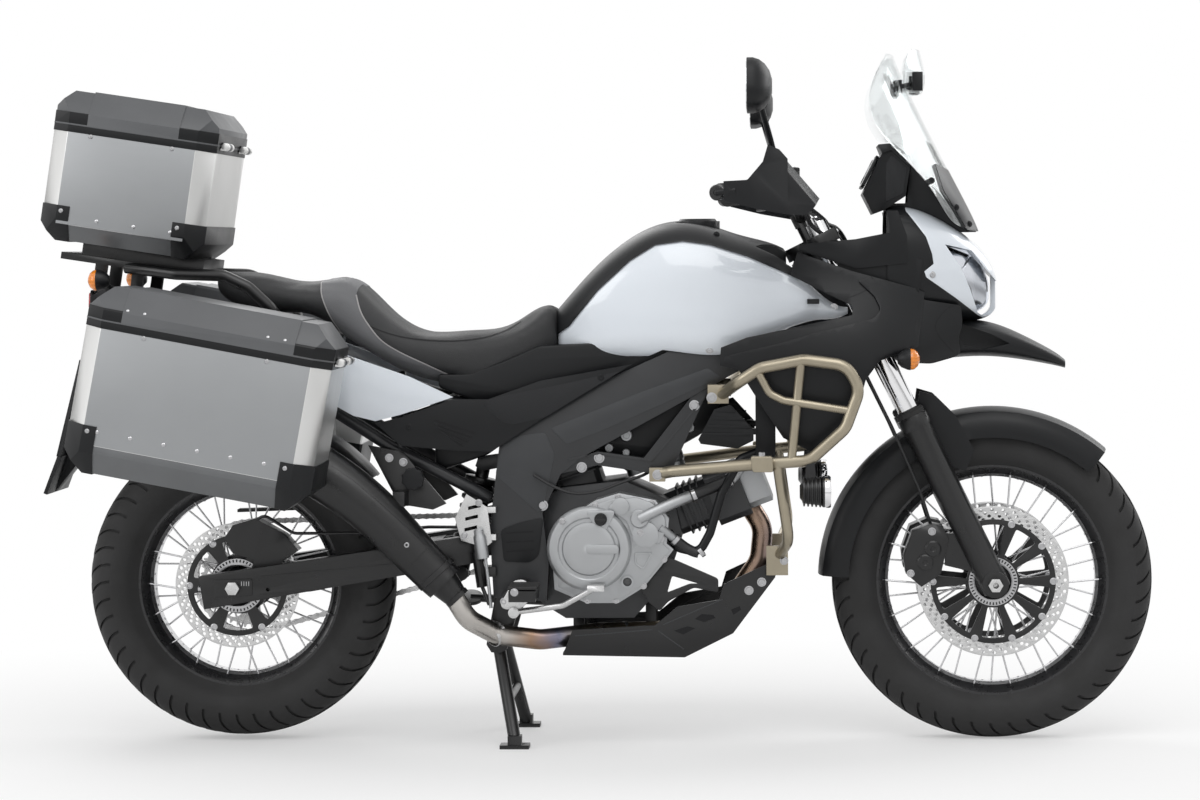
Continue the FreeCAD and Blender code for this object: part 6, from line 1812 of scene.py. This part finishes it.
def rear_lamp():
    """The red lamp across the tail's end, with a dark rim."""
    outline = rounded([(-74, -17), (74, -17), (68, 17), (-68, 17)], 9.0)
    lens = plate([outline], 0.0, 7.0, TOP_VIEW, 2.0)
    rim = plate([rounded([(-80, -22), (80, -22), (74, 22), (-74, 22)], 11.0)], -3.0, 2.6, TOP_VIEW, 1.2)
    across, up = (0.0, -1.0, 0.0), (0.0, 0.0, 1.0)
    spot = (-1042.0, 0.0, 922.0)
    deliver(laid(lens, spot, across, up), "rear_lamp_lens", "red_lens")
    deliver(laid(rim, spot, across, up), "rear_lamp_rim", "plastic")


def rider_block():
    """The right peg's polished block, the preload knob, the rear master cylinder and the peg rubbers."""
    block = plate([rounded([(-188, 300), (-160, 350), (-136, 352), (-116, 320), (-146, 290), (-180, 290)],
                           9.0), circle(-155, 324, 9.0, 24)], -201.0, -195.8, edge=2.0)
    pins = turned([(0, 0), (7, 0), (7, 3), (5.6, 5), (0, 5)], (-155, -200, 324), (0, -1, 0), 24)
    deliver(joined([block, pins]), "peg_block", "steel")
    lobes = [Vector((math.cos(a), math.sin(a))) * (21.0 if i % 2 else 24.5)
             for i, a in enumerate(math.tau * step / 18 for step in range(18))]
    knob = plate([rounded([(p.x - 365, p.y + 555) for p in lobes], 2.0)], -182.0, -160.0, edge=2.0)
    shaft = turned([(0, 0), (9, 0), (9, 40), (0, 40)], (-365, -162, 555), (0, 1, 0), 20)
    deliver(joined([knob, shaft]), "preload_knob", "plastic")
    rod = pipe([(-220, -172, 397), (-212, -176, 340), (-208, -180, 291)], 3.6)
    body = turned([(0, 0), (13, 0), (13, 44), (10, 50), (10, 58), (6, 62), (0, 62)], (-224, -172, 392),
                  (-0.15, 0, 1), 28)
    deliver(joined([rod, body]), "rear_master", "cast")
    rubber = plate([rounded([(-164, 340), (-106, 340), (-106, 347), (-164, 347)], 2.5)], -298.0, -204.0,
                   edge=1.6)
    deliver(both_sides(rubber), "peg_rubbers", "rubber")


class MOTORCYCLE_OT_fittings(bpy.types.Operator):
    """Make the upper hoses, rear lamp, peg blocks, preload knob and master cylinder"""
    bl_idname = "motorcycle.fittings"
    bl_label = "Small fittings"

    def execute(self, context):
        upper_hoses()
        rear_lamp()
        rider_block()
        return {"FINISHED"}


class MOTORCYCLE_OT_stage(bpy.types.Operator):
    """Set the floor, the soft lamps, the white surroundings and the camera"""
    bl_idname = "motorcycle.stage"
    bl_label = "Stage"

    def execute(self, context):
        settings = context.scene.motorcycle_stage
        bpy.ops.object.select_all(action="DESELECT")
        bpy.ops.mesh.primitive_plane_add(size=60.0)
        floor = context.object
        floor.name = "floor"
        floor.data.materials.append(white_floor("white floor"))
        for place, aim, size, share in (((0.5, -2.6, 4.2), (0.0, 0.0, 0.5), 3.4, 1.0),
                                        ((-3.4, -2.2, 2.4), (0.0, 0.0, 0.6), 2.2, 0.45),
                                        ((3.6, 2.4, 3.0), (0.0, 0.0, 0.6), 2.6, 0.7),
                                        ((-1.5, 3.0, 3.2), (0.0, 0.0, 0.6), 2.6, 0.5)):
            bpy.ops.object.light_add(type="AREA", location=place)
            lamp = context.object
            lamp.data.size = size
            lamp.data.energy = settings.lamp_power * share
            lamp.rotation_euler = (Vector(aim) - Vector(place)).to_track_quat("-Z", "Y").to_euler()
        world = bpy.data.worlds.new("white studio")
        world.use_nodes = True
        tree = world.node_tree
        tree.nodes["Background"].inputs["Strength"].default_value = settings.world_level
        tree.nodes["Background"].inputs["Color"].default_value = (1.0, 1.0, 1.0, 1.0)
        white = tree.nodes.new("ShaderNodeBackground")
        white.inputs["Color"].default_value = (1.0, 1.0, 1.0, 1.0)
        path = tree.nodes.new("ShaderNodeLightPath")
        seen = tree.nodes.new("ShaderNodeMath")
        seen.operation = "MAXIMUM"
        tree.links.new(path.outputs["Is Camera Ray"], seen.inputs[0])
        also = tree.nodes.new("ShaderNodeMath")
        also.operation = "MAXIMUM"
        tree.links.new(path.outputs["Is Glossy Ray"], also.inputs[0])
        tree.links.new(path.outputs["Is Transmission Ray"], also.inputs[1])
        tree.links.new(also.outputs[0], seen.inputs[1])
        mix = tree.nodes.new("ShaderNodeMixShader")
        tree.links.new(seen.outputs[0], mix.inputs[0])
        tree.links.new(tree.nodes["Background"].outputs[0], mix.inputs[1])
        tree.links.new(white.outputs[0], mix.inputs[2])
        tree.links.new(mix.outputs[0], tree.nodes["World Output"].inputs["Surface"])
        context.scene.world = world
        context.scene.view_settings.view_transform = "Standard"
        place_camera(context)
        return {"FINISHED"}


def place_camera(context):
    """The photograph's own camera: place, turn and focal length."""
    cy, sy = math.cos(CAMERA_YAW), math.sin(CAMERA_YAW)
    cp, sp = math.cos(CAMERA_PITCH), math.sin(CAMERA_PITCH)
    ahead = Vector((-sy * cp, cy * cp, -sp))
    right = Vector((cy, sy, 0.0))
    up = right.cross(ahead)
    rolled_right = right * math.cos(CAMERA_ROLL) + up * math.sin(CAMERA_ROLL)
    rolled_up = up * math.cos(CAMERA_ROLL) - right * math.sin(CAMERA_ROLL)
    turn = Matrix((rolled_right, rolled_up, -ahead)).transposed().to_4x4()
    data = bpy.data.cameras.new("camera")
    data.sensor_width = SENSOR_WIDTH
    data.lens = FOCAL_PIXELS / IMAGE_WIDTH * SENSOR_WIDTH
    camera = bpy.data.objects.new("camera", data)
    camera.matrix_world = Matrix.Translation(CAMERA_PLACE) @ turn
    context.collection.objects.link(camera)
    context.scene.camera = camera


class MOTORCYCLE_PT_panel(bpy.types.Panel):
    """Lists the steps that dress the machine"""
    bl_idname = "MOTORCYCLE_PT_panel"
    bl_label = "Adventure motorcycle"
    bl_space_type = "VIEW_3D"
    bl_region_type = "UI"
    bl_category = "Motorcycle"

    def draw(self, context):
        for group in (context.scene.motorcycle_colours, context.scene.motorcycle_stage):
            box = self.layout.box()
            for name in group.__annotations__:
                box.prop(group, name)
        for step in STEPS:
            self.layout.operator(step.bl_idname)


SETTINGS = (("motorcycle_colours", ColourSettings), ("motorcycle_stage", StageSettings))
STEPS = (MOTORCYCLE_OT_finishes,
         MOTORCYCLE_OT_luggage,
         MOTORCYCLE_OT_wheels,
         MOTORCYCLE_OT_bodywork,
         MOTORCYCLE_OT_machinery,
         MOTORCYCLE_OT_controls,
         MOTORCYCLE_OT_shells,
         MOTORCYCLE_OT_fittings,
         MOTORCYCLE_OT_stage)


def register():
    for name, group in SETTINGS:
        bpy.utils.register_class(group)
        setattr(bpy.types.Scene, name, PointerProperty(type=group))
    for step in STEPS:
        bpy.utils.register_class(step)
    bpy.utils.register_class(MOTORCYCLE_PT_panel)


def unregister():
    bpy.utils.unregister_class(MOTORCYCLE_PT_panel)
    for step in reversed(STEPS):
        bpy.utils.unregister_class(step)
    for name, group in reversed(SETTINGS):
        delattr(bpy.types.Scene, name)
        bpy.utils.unregister_class(group)


def main():
    register()
    for step in STEPS:
        family, action = step.bl_idname.split(".")
        getattr(getattr(bpy.ops, family), action)()


if __name__ == "__main__":
    main()
